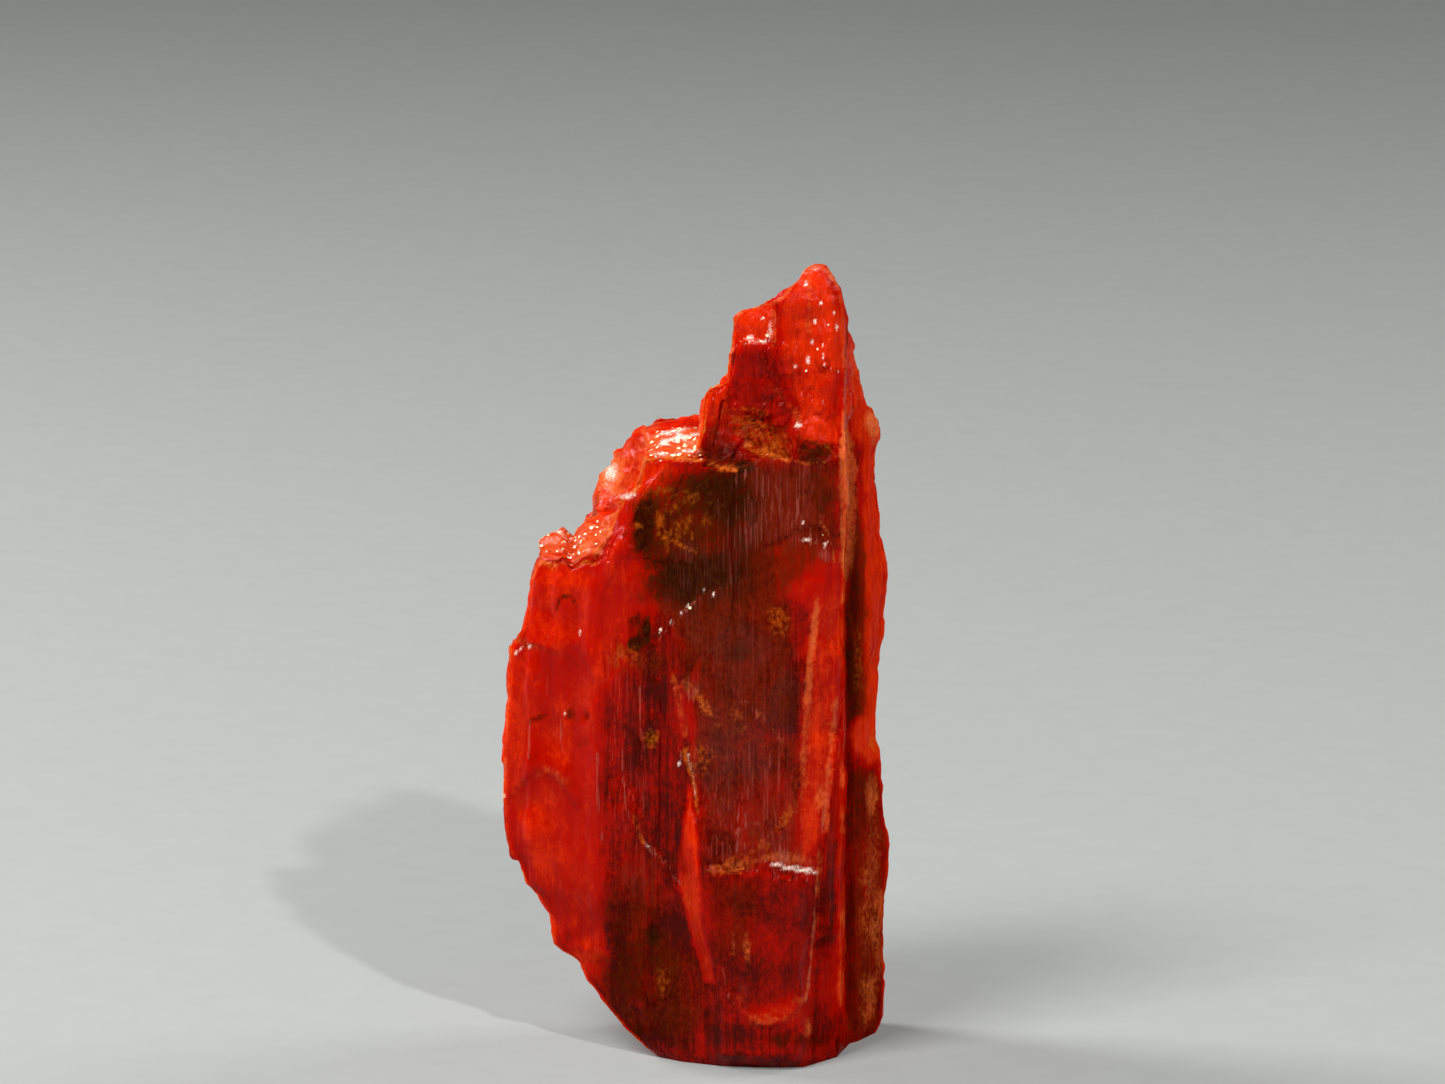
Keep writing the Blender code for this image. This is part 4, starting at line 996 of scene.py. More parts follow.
GLEAM = dict(
    patches=(
        (24.0, 0.18, ((740, 462), (824, 462), (824, 545), (740, 550))),
        (12.0, 0.11, ((656, 540), (742, 465), (745, 600), (680, 626))),
        (12.0, 0.14, ((600, 640), (650, 640), (650, 840), (600, 840))),
        (12.0, 0.14, ((706, 740), (790, 740), (790, 860), (706, 866)))),
    spots=((692, 690, 8, 12, 0.45), (822, 556, 9, 8, 0.70), (788, 857, 18, 8, 0.50),
           (810, 540, 14, 5, 0.45)),
    strokes=(
        (2.6, 0.50, ((646, 844), (657, 856), (670, 868), (680, 884))),
        (1.6, 0.55, ((836, 700), (830, 760), (824, 810), (819, 850), (816, 900), (807, 1002))),
        (1.5, 0.45, ((658, 640), (689, 606), (706, 591))),
        (1.7, 0.85, ((529, 724), (529, 758))), (1.5, 0.60, ((547, 651), (547, 694))),
        (1.5, 0.60, ((561, 719), (561, 750))),
        (1.7, 0.85, ((597, 756), (599, 812), (602, 842))),
        (1.7, 0.80, ((622, 752), (625, 800), (629, 820))), (1.6, 0.55, ((640, 688), (640, 747))),
        (1.6, 0.55, ((738, 815), (737, 850))), (1.6, 0.50, ((746, 812), (745, 845))),
        (1.5, 0.42, ((723, 968), (729, 1000))), (3.0, 0.40, ((742, 700), (765, 720), (783, 741))),
        (1.5, 0.50, ((745, 470), (745, 535))), (1.5, 0.45, ((760, 465), (760, 540))),
        (1.5, 0.50, ((797, 475), (797, 520))), (1.5, 0.45, ((775, 465), (776, 505)))))
# Crushed pale places, and painted glints and highlights
PALE = dict(
    spots=((806, 539, 7, 2.0, 0.80), (816, 542, 5, 1.6, 0.65), (778, 865, 8, 1.8, 0.35),
           (788, 867, 9, 2.0, 0.50), (798, 869, 9, 2.5, 0.72), (808, 871, 8, 2.6, 0.80),
           (815, 873, 4, 2.2, 0.60), (825, 545, 2.4, 2.2, 0.9), (803, 523, 1.8, 1.6, 0.7),
           (820, 556, 3, 2.2, 0.4), (628, 496, 8, 3, 0.9), (770, 330, 3, 14, 0.45),
           (679, 764, 2.5, 2.5, 0.9), (661, 629, 1.5, 1.8, 0.9), (659, 636, 2.2, 1.8, 0.7),
           (681, 612, 1.8, 2.8, 0.7), (671, 621, 1.6, 2.8, 0.6), (688, 605, 1.5, 1.4, 0.7),
           (694, 604, 1.6, 1.6, 0.8), (704, 592, 2.0, 2.8, 0.8), (713, 594, 1.8, 2.6, 0.6),
           (648, 847, 3.6, 2.2, 0.7), (611, 474, 9, 14, 0.55), (815, 269, 8, 4, 0.35),
           (754, 342, 13, 3.0, 0.4), (806, 284, 2.2, 2.2, 1.0), (821, 303, 2.0, 2.0, 1.0),
           (815, 321, 2.2, 2.6, 1.0), (812, 342, 2.0, 2.2, 1.0), (823, 347, 1.8, 1.8, 0.9),
           (808, 360, 2.5, 2.8, 1.0), (823, 358, 1.6, 2.4, 0.8), (796, 367, 3.6, 1.8, 0.8),
           (763, 318, 2.4, 1.8, 0.9), (750, 338, 4.0, 2.0, 1.0), (765, 343, 2.4, 1.8, 0.9),
           (799, 425, 4.0, 2.4, 0.9), (837, 327, 1.8, 3.5, 0.7), (834, 313, 1.6, 2.4, 0.8),
           (824, 366, 1.5, 2.2, 0.8), (831, 368, 1.5, 2.2, 0.7), (838, 371, 1.5, 2.4, 0.6),
           (806, 379, 1.5, 2.0, 0.8), (823, 402, 1.4, 2.4, 0.7), (680, 437, 8.0, 4.0, 0.9),
           (664, 443, 6.0, 3.0, 0.8), (530, 646, 3.4, 2.2, 1.0), (521, 648, 2.4, 2.0, 1.0),
           (548, 635, 1.6, 1.6, 1.0), (516, 653, 2.6, 2.4, 0.9), (513, 640, 3.0, 2.0, 0.7),
           (522, 634, 1.8, 1.6, 0.8), (534, 641, 2.0, 1.6, 0.8), (580, 633, 1.6, 5.0, 0.6),
           (565, 714, 1.5, 1.6, 0.9), (504, 795, 2.6, 2.2, 0.9), (874, 420, 8, 12, 0.14)),
    strokes=((1.8, 0.60, ((766, 862), (780, 866), (792, 869))),
             (1.5, 0.30, ((676, 735), (682, 762))),
             (1.8, 0.34, ((688, 755), (694, 780), (696, 800))),
             (2.0, 0.70, ((646, 448), (670, 440), (698, 434))),
             (2.0, 0.70, ((655, 455), (680, 450), (700, 452))),
             (2.0, 0.60, ((640, 442), (662, 434), (690, 428))),
             (2.0, 0.65, ((538, 548), (541, 535), (548, 529), (558, 530), (566, 540))),
             (2.5, 0.60, ((572, 548), (584, 535), (594, 524))),
             (2.0, 0.50, ((560, 552), (575, 556), (590, 548)))))
# Tiny facets that catch the light
SPARK = dict(
    patches=((5.0, 1.00, ((640, 432), (702, 420), (704, 460), (650, 464))),
             (5.0, 0.90, ((536, 524), (606, 514), (616, 524), (596, 562), (538, 564)))),
    spots=((812, 350, 26, 60, 0.60), (756, 338, 22, 9, 0.95), (811, 540, 22, 12, 0.85),
           (532, 645, 30, 12, 0.8), (512, 794, 12, 12, 0.8), (800, 430, 12, 10, 0.7)),
    strokes=((5.0, 0.6, ((658, 640), (689, 606), (708, 590))),
             (4.0, 0.7, ((644, 459), (703, 461), (735, 470))),
             (4.0, 0.7, ((748, 447), (788, 462))),
             (4.0, 0.6, ((530, 566), (524, 600), (512, 636))),
             (4.0, 0.5, ((640, 480), (615, 516), (593, 560)))))

# Noise of the stains, the painted sheen and highlights and the painted glow: (cell, seed) of the
# broad, the streaky and the patchy one
STAIN_NOISE = (((1.6, 1.6, 3.2), 71), ((0.5, 0.5, 2.6), 72), ((0.7, 0.7, 0.9), 73))
# Stains, painted sheen and painted highlights on the sides that the photograph doesn't show:
# (strength, shares of those three noises, and the sums of them where the stain starts and is whole)
HIDDEN_STAINS_AND_SHEEN = {
    "olive": (0.45, (0.0, 1.0, 0.5), (0.30, 1.05)), "brown": (0.66, (1.0, 0.5, 0.0), (0.0, 0.7)),
    "ochre": (0.38, (0.0, 1.0, -1.0), (0.50, 1.20)), "veil": (0.50, (1.0, 1.0, 0.0), (0.1, 0.9)),
    "gleam": (0.16, (0.0, 1.0, 0.0), (-0.2, 0.6))}
# How much light comes through, painted into the colour as a glow: where nothing is marked, what the
# peak and the rear lobe's top add, how much deep places and painted shade take away, what the hidden
# sides have with the first two noises, and what streaks, patches, hidden edges and rims add
GLOW_LEAST = 0.30
GLOW_PEAK = 0.34
GLOW_LOBE = 0.40
GLOW_OFF_DEEP_AND_SHADED = 0.85
GLOW_HIDDEN = (0.47, 0.34, 0.14)
GLOW_STREAKS = 0.07
GLOW_PATCHES = 0.10
GLOW_EDGES = 0.25
GLOW_RIM = 0.50
# What else adds to a layer: dark cores to the olive stains, rims to the ochre ones as painted golden
# light, hidden ledges and the lobe's top to the cloudy places, partly as painted highlights, and
# hidden edges and ledges to the painted glints
OLIVE_CORE = 0.8
OLIVE_CORE_FROM = 0.70
OCHRE_RIM = 0.15
SALMON_LEDGE = 0.45
SALMON_LOBE = 0.3
SPARK_EDGES = 0.20
SPARK_LEDGE = 0.35
# How calm the peak is, how broken grown faces and the peak are, and how much smooth places take away
CALM_PEAK = 0.85
BROKEN_LEAST = 0.04
BROKEN_PEAK = 0.50
OFF_SMOOTH = 0.6
# Where the rear lobe's top starts, how far the edges with a painted glow and painted glints reach, and
# how far the thin rims with a painted glow reach
LOBE_TOP = (12.6, 13.4)
EDGE_LIGHT_REACH = 0.45
RIM_REACH = 0.16
# How matt the stained places and the sheltered right side are, where 1 is wholly matt
MATT_STAINS = 1.3
MATT_SIDE = 0.85
# The layers' names, under which the mesh holds them for the material
LAYERS = (
    "glow", "olive", "brown", "ochre", "veil", "salmon", "gleam", "pale", "spark", "calm", "broken",
    "matt")


def layers(surface):
    """The stains, tints and painted light of every point by name, the painted light being glow, shade,
    sheen, highlights and glints: those placed in the photograph's view, and noise of the same kinds on
    the sides that it doesn't show."""
    front = surface.on(*FRONT_FACES)
    side = surface.on("right_ridge", "right_flank", "groove", "rear_blade_front")
    hidden = 1.0 - surface.seen * np.clip(front + side + surface.ledge, 0.0, 1.0)
    noises = [noise(surface.points / cell + NOISE_SHIFT, seed) for cell, seed in STAIN_NOISE]
    broad, streaky, patchy = noises
    behind = {}
    for name, (strength, shares, span) in HIDDEN_STAINS_AND_SHEEN.items():
        mixed = sum(share * part for share, part in zip(shares, noises))
        behind[name] = strength * hidden * ramp(mixed, *span)
    edges = near_edges(surface, EDGE_LIGHT_REACH, OUTER_EDGES + INNER_EDGES)
    rim = near_edges(surface, RIM_REACH, OUTER_EDGES)
    lobe = surface.on("rear_left", "left_rear", "rear_lobe") * ramp(surface.z, *LOBE_TOP)
    smooth = marks(surface, **SMOOTH)
    rest = 1.0 - OFF_SMOOTH * smooth

    glow = GLOW_LEAST + GLOW_PEAK * surface.peak + GLOW_LOBE * lobe
    glow = 1.0 - (1.0 - glow) * (1.0 - marks(surface, **BRIGHT))
    glow *= 1.0 - GLOW_OFF_DEEP_AND_SHADED * marks(surface, **DEEP_AND_SHADED)
    level, broad_share, streaky_share = GLOW_HIDDEN
    back = level + broad_share * broad + streaky_share * streaky
    glow += (back - glow) * hidden * (1.0 - lobe)
    glow += GLOW_STREAKS * streaky * rest + GLOW_PATCHES * patchy
    glow += GLOW_EDGES * edges * hidden + GLOW_RIM * rim
    olive = marks(surface, **OLIVE)
    values = {
        "glow": np.minimum(glow, 1.0),
        "olive": olive + OLIVE_CORE * ramp(olive, OLIVE_CORE_FROM, 1.0) + behind["olive"],
        "brown": marks(surface, **BROWN) + behind["brown"],
        "ochre": marks(surface, **OCHRE) + OCHRE_RIM * rim + behind["ochre"],
        "veil": marks(surface, **PAINTED_SHEEN) + behind["veil"],
        "salmon": marks(surface, **SALMON) + (
            SALMON_LEDGE * surface.ledge + SALMON_LOBE * lobe) * hidden,
        "gleam": marks(surface, **GLEAM) + behind["gleam"],
        "pale": marks(surface, **PALE),
        "spark": marks(surface, **SPARK) + (
            SPARK_EDGES * edges + SPARK_LEDGE * surface.ledge) * hidden,
        "calm": np.maximum(smooth, np.maximum(CALM_PEAK * surface.peak, surface.ledge)),
        "broken": BROKEN_LEAST + surface.ledge + BROKEN_PEAK * surface.peak * rest}
    matt = MATT_STAINS * (values["brown"] + values["olive"]) + MATT_SIDE * side * (1.0 - surface.peak)
    values["matt"] = np.minimum(matt, 1.0)
    return {name: np.clip(values[name], 0.0, 2.0) for name in LAYERS}


# Faces that meet at more than this are drawn with a sharp edge
SHARP_ANGLE = math.radians(38.0)


def grid_mesh(name, points, values):
    """A closed mesh of a grid that runs round and up: quads between its rows, a fan below the first
    row and one above the last. Each named value becomes an attribute of its points."""
    rows, count = points.shape[:2]
    poles = [points[0].mean(axis=0), points[-1].mean(axis=0)]
    vertices = np.concatenate([points.reshape(-1, 3), poles])
    here = np.arange(rows * count).reshape(rows, count)
    after = np.roll(here, -1, axis=1)
    quads = np.stack([here[:-1], after[:-1], after[1:], here[1:]], axis=-1).reshape(-1, 4)
    bottom = np.stack([after[0], here[0], np.full(count, rows * count)], axis=-1)
    top = np.stack([here[-1], after[-1], np.full(count, rows * count + 1)], axis=-1)
    mesh = bpy.data.meshes.new(name)
    mesh.from_pydata((vertices * MM).tolist(), [], quads.tolist() + bottom.tolist() + top.tolist())
    for label, value in values.items():
        ends = [value[0].mean(), value[-1].mean()]
        attribute = mesh.attributes.new(label, "FLOAT", "POINT")
        attribute.data.foreach_set("value", np.concatenate([value.ravel(), ends]).astype(np.float32))
    mesh.polygons.foreach_set("use_smooth", np.ones(len(mesh.polygons), dtype=bool))
    mesh.set_sharp_from_angle(angle=SHARP_ANGLE)
    mesh.update()
    return mesh


def linear(code):
    """The linear colour, with alpha, of an sRGB hex code."""
    values = [int(code[i:i + 2], 16) / 255.0 for i in (1, 3, 5)]
    return tuple(c / 12.92 if c <= 0.04045 else ((c + 0.055) / 1.055) ** 2.4 for c in values) + (1.0,)


def add(tree, kind, settings, inputs, output=0):
    """Adds a node with its settings, and its sockets' values or links by name or number. Gives one of
    its outputs."""
    node = tree.nodes.new(kind)
    for name, value in settings.items():
        setattr(node, name, value)
    for name, value in inputs.items():
        if isinstance(value, bpy.types.NodeSocket):
            tree.links.new(value, node.inputs[name])
        else:
            node.inputs[name].default_value = value
    return node.outputs[output]


# The crystal's grains: size across, deep and high in millimetres, and how many finer sizes each has
GRAINS = {
    "hair": (0.055, 0.055, 2.2, 3.0), "rib": (0.16, 0.16, 3.5, 3.0), "cloud": (0.9, 0.9, 1.2, 4.0),
    "blotch": (0.32, 0.32, 0.42, 5.0), "speck": (0.10, 0.10, 0.14, 3.0),
    "dust": (0.035, 0.035, 0.05, 2.0), "fold": (0.55, 0.55, 0.95, 3.0),
    "plate": (0.42, 0.09, 0.07, 3.0)}
GRAIN_SHIFT = 11.0
GLINT_CELL = 0.14
SPLINTER_CELL = 0.16
# Stains, tints and painted light, the painted sheen, highlights and glints among them, in the order in
# which they lie on each other: the grain that eats into each, how far it does, how soft the flecks'
# edges are, how strong they are, and how much their tone varies
FLECKS = (
    ("brown", "weathered", 2.6, 0.40, 0.78, 0.4), ("olive", "mottle", 2.5, 0.46, 0.94, 0.9),
    ("ochre", "mottle", 2.1, 0.52, 0.76, 0.60), ("veil", "woven", 2.6, 0.30, 0.22, 0.2),
    ("salmon", "crumpled", 1.5, 0.50, 0.75, 0.15), ("gleam", "hair", 3.0, 0.16, 0.50, 0.2),
    ("pale", "dust", 1.8, 0.36, 0.95, 0.3))
# A range lists its node's sockets: 1 and 2 are where the value starts and ends, and 3 and 4 are what
# it becomes there. First how much each grain changes how much light comes through and over which of
# its values, and the same of the ribs' grains, of which calm places keep a share
GLOW_GRAINS = (("cloud", 0.07), ("blotch", 0.05), ("speck", 0.045), ("dust", 0.045))
GLOW_SPAN = {1: 0.38, 2: 0.62}
RIB_GRAINS = (("rib", 0.05), ("hair", 0.06))
RIB_SPAN = {1: 0.40, 2: 0.60}
CALM_RIBS = 0.15
# Shares of the two grains in the mottling
MOTTLE_BLOTCH = 0.35
MOTTLE_SPECK = 0.65
# Bright wisps along the folds: how far from a fold's middle they reach, and how much light they add
WISP_HALF = 0.04
WISP_GLOW = 0.08
# How much light comes through where the crystal is all red, and where it is all orange
ALL_RED = 0.62
ALL_ORANGE = 1.20
# Where each layer, stains, tints and painted light alike, starts to show and shows in full, and how
# light its tone is from its darkest to its lightest specks
LAYER_SHOWS = {1: 0.04, 2: 0.25}
TONE_SPAN = {1: 0.36, 2: 0.64, 3: 0.50, 4: 1.60}
# Glints: how much the layer adds to their size, and how soft their edge is, in cells
GLINT_GROWTH = 0.55
GLINT_SOFT = 0.08
# The clear crystal's roughness, from glassy to waxy, and how much rougher the painted sheen and the
# crusts are
CLEAR_ROUGH = {1: 0.3, 2: 0.7, 3: 0.12, 4: 0.24}
ROUGH_STAINS_AND_SHEEN = (("veil", 0.40), ("ochre", 0.25))
# The bump: (grain, amount) besides the ribs and splinters, its strength, and its height in
# millimetres
BUMP_GRAINS = (("dust", 0.25), ("fold", 1.2))
BUMP_STRENGTH = 0.60
BUMP_HEIGHT = 0.04
# How far red, green and blue light reach inside, as shares of the light depth
LIGHT_REACH = (1.0, 0.16, 0.05)
SOFT = {"interpolation_type": "SMOOTHSTEP"}
TIMES = {"operation": "MULTIPLY", "use_clamp": True}
PLUS = {"operation": "ADD"}
TIMES_PLUS = {"operation": "MULTIPLY_ADD"}
TINT = {"data_type": "RGBA"}
SHADE = {"data_type": "RGBA", "blend_type": "MULTIPLY"}
MATH = "ShaderNodeMath"
RANGE = "ShaderNodeMapRange"
MIX = "ShaderNodeMix"


def crocoite(settings):
    """Crocoite, lead chromate, as grown and broken: a waxy to glassy translucent red-orange, with the
    light that comes through painted in as a glow and painted shade as a deeper red, fine upright ribs
    that catch the light as lilac-grey hairs, painted as a sheen and highlights, iron stains from olive
    black to ochre, crushed pale edges with painted glints, and tiny facets whose sparkle is painted as
    glints."""
    material = bpy.data.materials.new("crocoite")
    material.use_nodes = True
    tree = material.node_tree
    shader = tree.nodes["Principled BSDF"]
    node = partial(add, tree)
    place = node("ShaderNodeTexCoord", {}, {}, "Object")
    layer = {name: node("ShaderNodeAttribute", {"attribute_name": name}, {}, "Fac") for name in LAYERS}
    grain = {}
    for number, (name, (across, deep, high, finer)) in enumerate(GRAINS.items()):
        mapped = node("ShaderNodeMapping", {}, {
            "Vector": place, "Location": (GRAIN_SHIFT * number,) * 3,
            "Scale": (1.0 / (across * MM), 1.0 / (deep * MM), 1.0 / (high * MM))})
        grain[name] = node("ShaderNodeTexNoise", {}, {
            "Vector": mapped, "Scale": 1.0, "Detail": finer, "Roughness": 0.6})
    uncalm = node(RANGE, {}, {0: layer["calm"], 3: 1.0, 4: CALM_RIBS})
    part_speck = node(MATH, TIMES, {0: grain["speck"], 1: MOTTLE_SPECK})
    grain["mottle"] = node(MATH, TIMES_PLUS, {0: grain["blotch"], 1: MOTTLE_BLOTCH, 2: part_speck})
    grain["weathered"] = node(MIX, {}, {0: 0.5, 2: grain["rib"], 3: grain["mottle"]})
    grain["crumpled"] = node(MIX, {}, {0: layer["broken"], 2: grain["mottle"], 3: grain["plate"]})
    off_fold = node(MATH, {"operation": "SUBTRACT"}, {0: grain["fold"], 1: 0.5})
    near_fold = node(MATH, {"operation": "ABSOLUTE"}, {0: off_fold})
    wisp = node(RANGE, SOFT, {0: near_fold, 1: WISP_HALF, 2: 0.0})
    grain["woven"] = node(MIX, {}, {0: layer["calm"], 2: grain["hair"], 3: grain["fold"]})

    glow = node(MATH, TIMES_PLUS, {0: wisp, 1: WISP_GLOW, 2: layer["glow"]})
    for name, amount in GLOW_GRAINS:
        shift = node(RANGE, SOFT, {0: grain[name], 3: -amount, 4: amount, **GLOW_SPAN})
        glow = node(MATH, PLUS, {0: glow, 1: shift})
    for name, amount in RIB_GRAINS:
        shift = node(RANGE, SOFT, {0: grain[name], 3: -amount, 4: amount, **RIB_SPAN})
        glow = node(MATH, TIMES_PLUS, {0: shift, 1: uncalm, 2: glow})
    to_red = node(RANGE, SOFT, {0: glow, 1: 0.0, 2: ALL_RED})
    to_orange = node(RANGE, SOFT, {0: glow, 1: ALL_RED, 2: ALL_ORANGE})
    colour = node(MIX, TINT, {0: to_red, 6: linear(settings["deep"]), 7: linear(settings["red"])}, 2)
    colour = node(MIX, TINT, {0: to_orange, 6: colour, 7: linear(settings["orange"])}, 2)

    tone = node(RANGE, SOFT, {0: grain["speck"], **TONE_SPAN})
    share = {}
    for name, texture, spread, soft, strongest, varied in FLECKS:
        eaten = node(MATH, TIMES_PLUS, {0: grain[texture], 1: spread, 2: -0.5 * spread})
        uneven_layer = node(MATH, PLUS, {0: layer[name], 1: eaten})
        kept = node(RANGE, SOFT, {0: uneven_layer, 1: 0.5 - soft, 2: 0.5 + soft, 4: strongest})
        there = node(RANGE, SOFT, {0: layer[name], **LAYER_SHOWS})
        share[name] = node(MATH, TIMES, {0: kept, 1: there})
        toned = node(MIX, SHADE, {0: varied, 6: linear(settings[name]), 7: tone}, 2)
        colour = node(MIX, TINT, {0: share[name], 6: colour, 7: toned}, 2)

    # Each cell has one glint, whose size grows with the layer, and most cells' glints have no size
    cells = {"Vector": place, "Scale": 1.0 / (GLINT_CELL * MM)}
    chance = node("ShaderNodeTexVoronoi", {}, cells, "Color")
    chance = node("ShaderNodeSeparateColor", {}, {0: chance})
    reach = node("ShaderNodeTexVoronoi", {}, cells, "Distance")
    size = node(MATH, TIMES_PLUS, {0: layer["spark"], 1: GLINT_GROWTH, 2: -1.0})
    size = node(MATH, PLUS, {0: size, 1: chance})
    inside = node(MATH, {"operation": "SUBTRACT"}, {0: size, 1: reach})
    glint = node(RANGE, SOFT, {0: inside, 1: 0.0, 2: GLINT_SOFT})
    colour = node(MIX, TINT, {0: glint, 6: colour, 7: linear(settings["spark"])}, 2)

    rough = node(RANGE, SOFT, {0: grain["cloud"], **CLEAR_ROUGH})
    for name, amount in ROUGH_STAINS_AND_SHEEN:
        rough = node(MATH, TIMES_PLUS, {0: share[name], 1: amount, 2: rough})

    fine = node(MATH, TIMES, {0: grain["hair"], 1: uncalm})
    fine = node(MATH, TIMES_PLUS, {0: grain["rib"], 1: uncalm, 2: fine})
    cells = {"Vector": place, "Scale": 1.0 / (SPLINTER_CELL * MM)}
    splinter = node("ShaderNodeTexVoronoi", {}, cells)
    height = node(MATH, TIMES_PLUS, {0: splinter, 1: layer["broken"], 2: fine})
    for name, amount in BUMP_GRAINS:
        height = node(MATH, TIMES_PLUS, {0: grain[name], 1: amount, 2: height})
    bump = node("ShaderNodeBump", {}, {
        "Strength": BUMP_STRENGTH, "Distance": BUMP_HEIGHT * MM, "Height": height})

    sheen = node(RANGE, {}, {0: layer["matt"], 3: settings["gloss"], 4: 0.0})
    for socket, value in (("Base Color", colour), ("Roughness", rough), ("Normal", bump),
                          ("Specular IOR Level", sheen)):
        tree.links.new(value, shader.inputs[socket])
    shader.inputs["IOR"].default_value = settings["ior"]
    shader.inputs["Subsurface Weight"].default_value = settings["translucency"]
    shader.inputs["Subsurface Radius"].default_value = LIGHT_REACH
    shader.inputs["Subsurface Scale"].default_value = settings["light_depth"]
    return material


# The paper's fibres to a metre, drawn coarser than real ones so that they show
FIBRES = 900.0


def paper(name, code):
    """Matt studio paper: one soft colour, with a fine fibre grain that keeps it from looking dead."""
    material = bpy.data.materials.new(name)
    material.use_nodes = True
    tree = material.node_tree
    shader = tree.nodes["Principled BSDF"]
    node = partial(add, tree)
    place = node("ShaderNodeTexCoord", {}, {}, "Object")
    fibre = node("ShaderNodeTexNoise", {}, {"Vector": place, "Scale": FIBRES, "Detail": 2.0})
    tone = node(RANGE, {}, {0: fibre, 1: 0.3, 2: 0.7, 3: 0.97, 4: 1.0})
    colour = node(MIX, SHADE, {0: 1.0, 6: linear(code), 7: tone}, 2)
    tree.links.new(colour, shader.inputs["Base Color"])
    shader.inputs["Roughness"].default_value = 0.9
    return material


class CrystalSettings(bpy.types.PropertyGroup):
    """The crystal's colours and how its light goes through it."""

    # Deep red, red and orange are mixed by the painted glow of light coming through; the deep red also
    # colours the painted shade
    deep: bpy.props.StringProperty(
        name="Deep red", description="Colour of the thick dark places", default="#440602")
    red: bpy.props.StringProperty(
        name="Red", description="Colour of the clear crystal", default="#a40900")
    orange: bpy.props.StringProperty(
        name="Orange", description="Colour where light comes through", default="#d02a05")
    brown: bpy.props.StringProperty(
        name="Brown", description="Colour of the iron-stained ribs", default="#561806")
    # Olive black also colours the painted shadow along the base
    olive: bpy.props.StringProperty(
        name="Olive black", description="Colour of the dark inclusions", default="#2a0f03")
    # Ochre also colours the painted golden light along the fracture's lip, the ledges' rims and the
    # left edges
    ochre: bpy.props.StringProperty(
        name="Ochre", description="Colour of the iron crusts", default="#ac4c0c")
    # The painted sheen: a painted grey-lilac reflection on the ribs
    veil: bpy.props.StringProperty(
        name="Veil", description="Colour of the grey-lilac haze on the ribs", default="#6e342a")
    # Salmon also colours painted highlights and the painted glow along the peak's outline
    salmon: bpy.props.StringProperty(
        name="Salmon", description="Colour of the cloudy ledges and strips", default="#d0622c")
    gleam: bpy.props.StringProperty(
        name="Gleam", description="Colour of the hair-thin ribs that catch the light",
        default="#984a3c")
    # Pale also colours the painted glints and highlights
    pale: bpy.props.StringProperty(
        name="Pale", description="Colour of the crushed edges", default="#f0d0c0")
    spark: bpy.props.StringProperty(
        name="Spark", description="Colour of the tiny facets that catch the light",
        default="#ffe6c0")
    ior: bpy.props.FloatProperty(
        name="IOR", description="How strongly the surface mirrors", default=1.45, min=1.0, max=2.5)
    gloss: bpy.props.FloatProperty(
        name="Gloss", description="Share of the mirror light that is kept", default=0.07, min=0.0,
        max=1.0, subtype="FACTOR")
    translucency: bpy.props.FloatProperty(
        name="Translucency", description="Share of light that goes inside", default=0.35, min=0.0,
        max=1.0, subtype="FACTOR")
    light_depth: bpy.props.FloatProperty(
        name="Light depth", description="How far red light travels inside", default=0.0009,
        min=0.0, unit="LENGTH")


class StageSettings(bpy.types.PropertyGroup):
    """The studio's colours and lights."""

    floor: bpy.props.StringProperty(
        name="Paper", description="Colour of the floor and backdrop", default="#989a98")
    key: bpy.props.FloatProperty(
        name="Key light", description="Power of the large front light", default=0.47, min=0.0,
        unit="POWER")
    rim: bpy.props.FloatProperty(
        name="Rim light", description="Power of the light behind the left side", default=0.37,
        min=0.0, unit="POWER")
    fill: bpy.props.FloatProperty(
        name="Fill light", description="Power of the light behind the right side", default=0.15,
        min=0.0, unit="POWER")
    spark: bpy.props.FloatProperty(
        name="Small light", description="Power of the small light that makes facets sparkle",
        default=0.21, min=0.0, unit="POWER")
    sky: bpy.props.FloatProperty(
        name="Surroundings", description="Strength of the even light all round", default=0.07,
        min=0.0)


class CROCOITE_OT_crystal(bpy.types.Operator):
    """Add the crystal's fine surface in place of its solid"""

    bl_idname = "crocoite.crystal"
    bl_label = "Crystal"

    def execute(self, context):
        settings = context.scene.crocoite_crystal
        surface = Surface()
        fine_relief(surface)
        surface.measure()
        values = layers(surface)
        stand(surface)
        points = surface.points - np.array([BOX_MIDDLE[0], BOX_MIDDLE[1], 0.0])
        mesh = grid_mesh("crystal_surface", points, values)
        looks = {name: getattr(settings, name) for name in CrystalSettings.__annotations__}
        mesh.materials.append(crocoite(looks))
        crystal = bpy.data.objects.new("crystal_surface", mesh)
        context.scene.collection.objects.link(crystal)
        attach(crystal, "root")
        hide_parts(CAD_NODE)
        return {"FINISHED"}


# The studio's paper in millimetres: how far its floor reaches, the bend's radius and the wall's
# height. Then how many rings the floor and the bend have each, how many faces go round, and how far
# out the floor's first ring is, as a share of the floor
BOWL_FLOOR = 420.0
BOWL_BEND = 120.0
BOWL_WALL = 420.0
BOWL_CURVE = 16
BOWL_SIDES = 96
BOWL_FIRST = 0.05
# The colour of the even light all round
SKY_COLOUR = "#dfe4e8"
# The studio's lights: (name, its setting, place and side in millimetres), and what they are aimed at
LIGHTS = (
    ("key_light", "key", (-90.0, -110.0, 185.0), 80.0),
    ("rim_light", "rim", (-150.0, 70.0, 110.0), 60.0),
    ("fill_light", "fill", (140.0, 60.0, 130.0), 80.0),
    ("small_light", "spark", (60.0, -140.0, 120.0), 6.0))
LIGHT_AIM = (0.0, 0.0, 10.0)
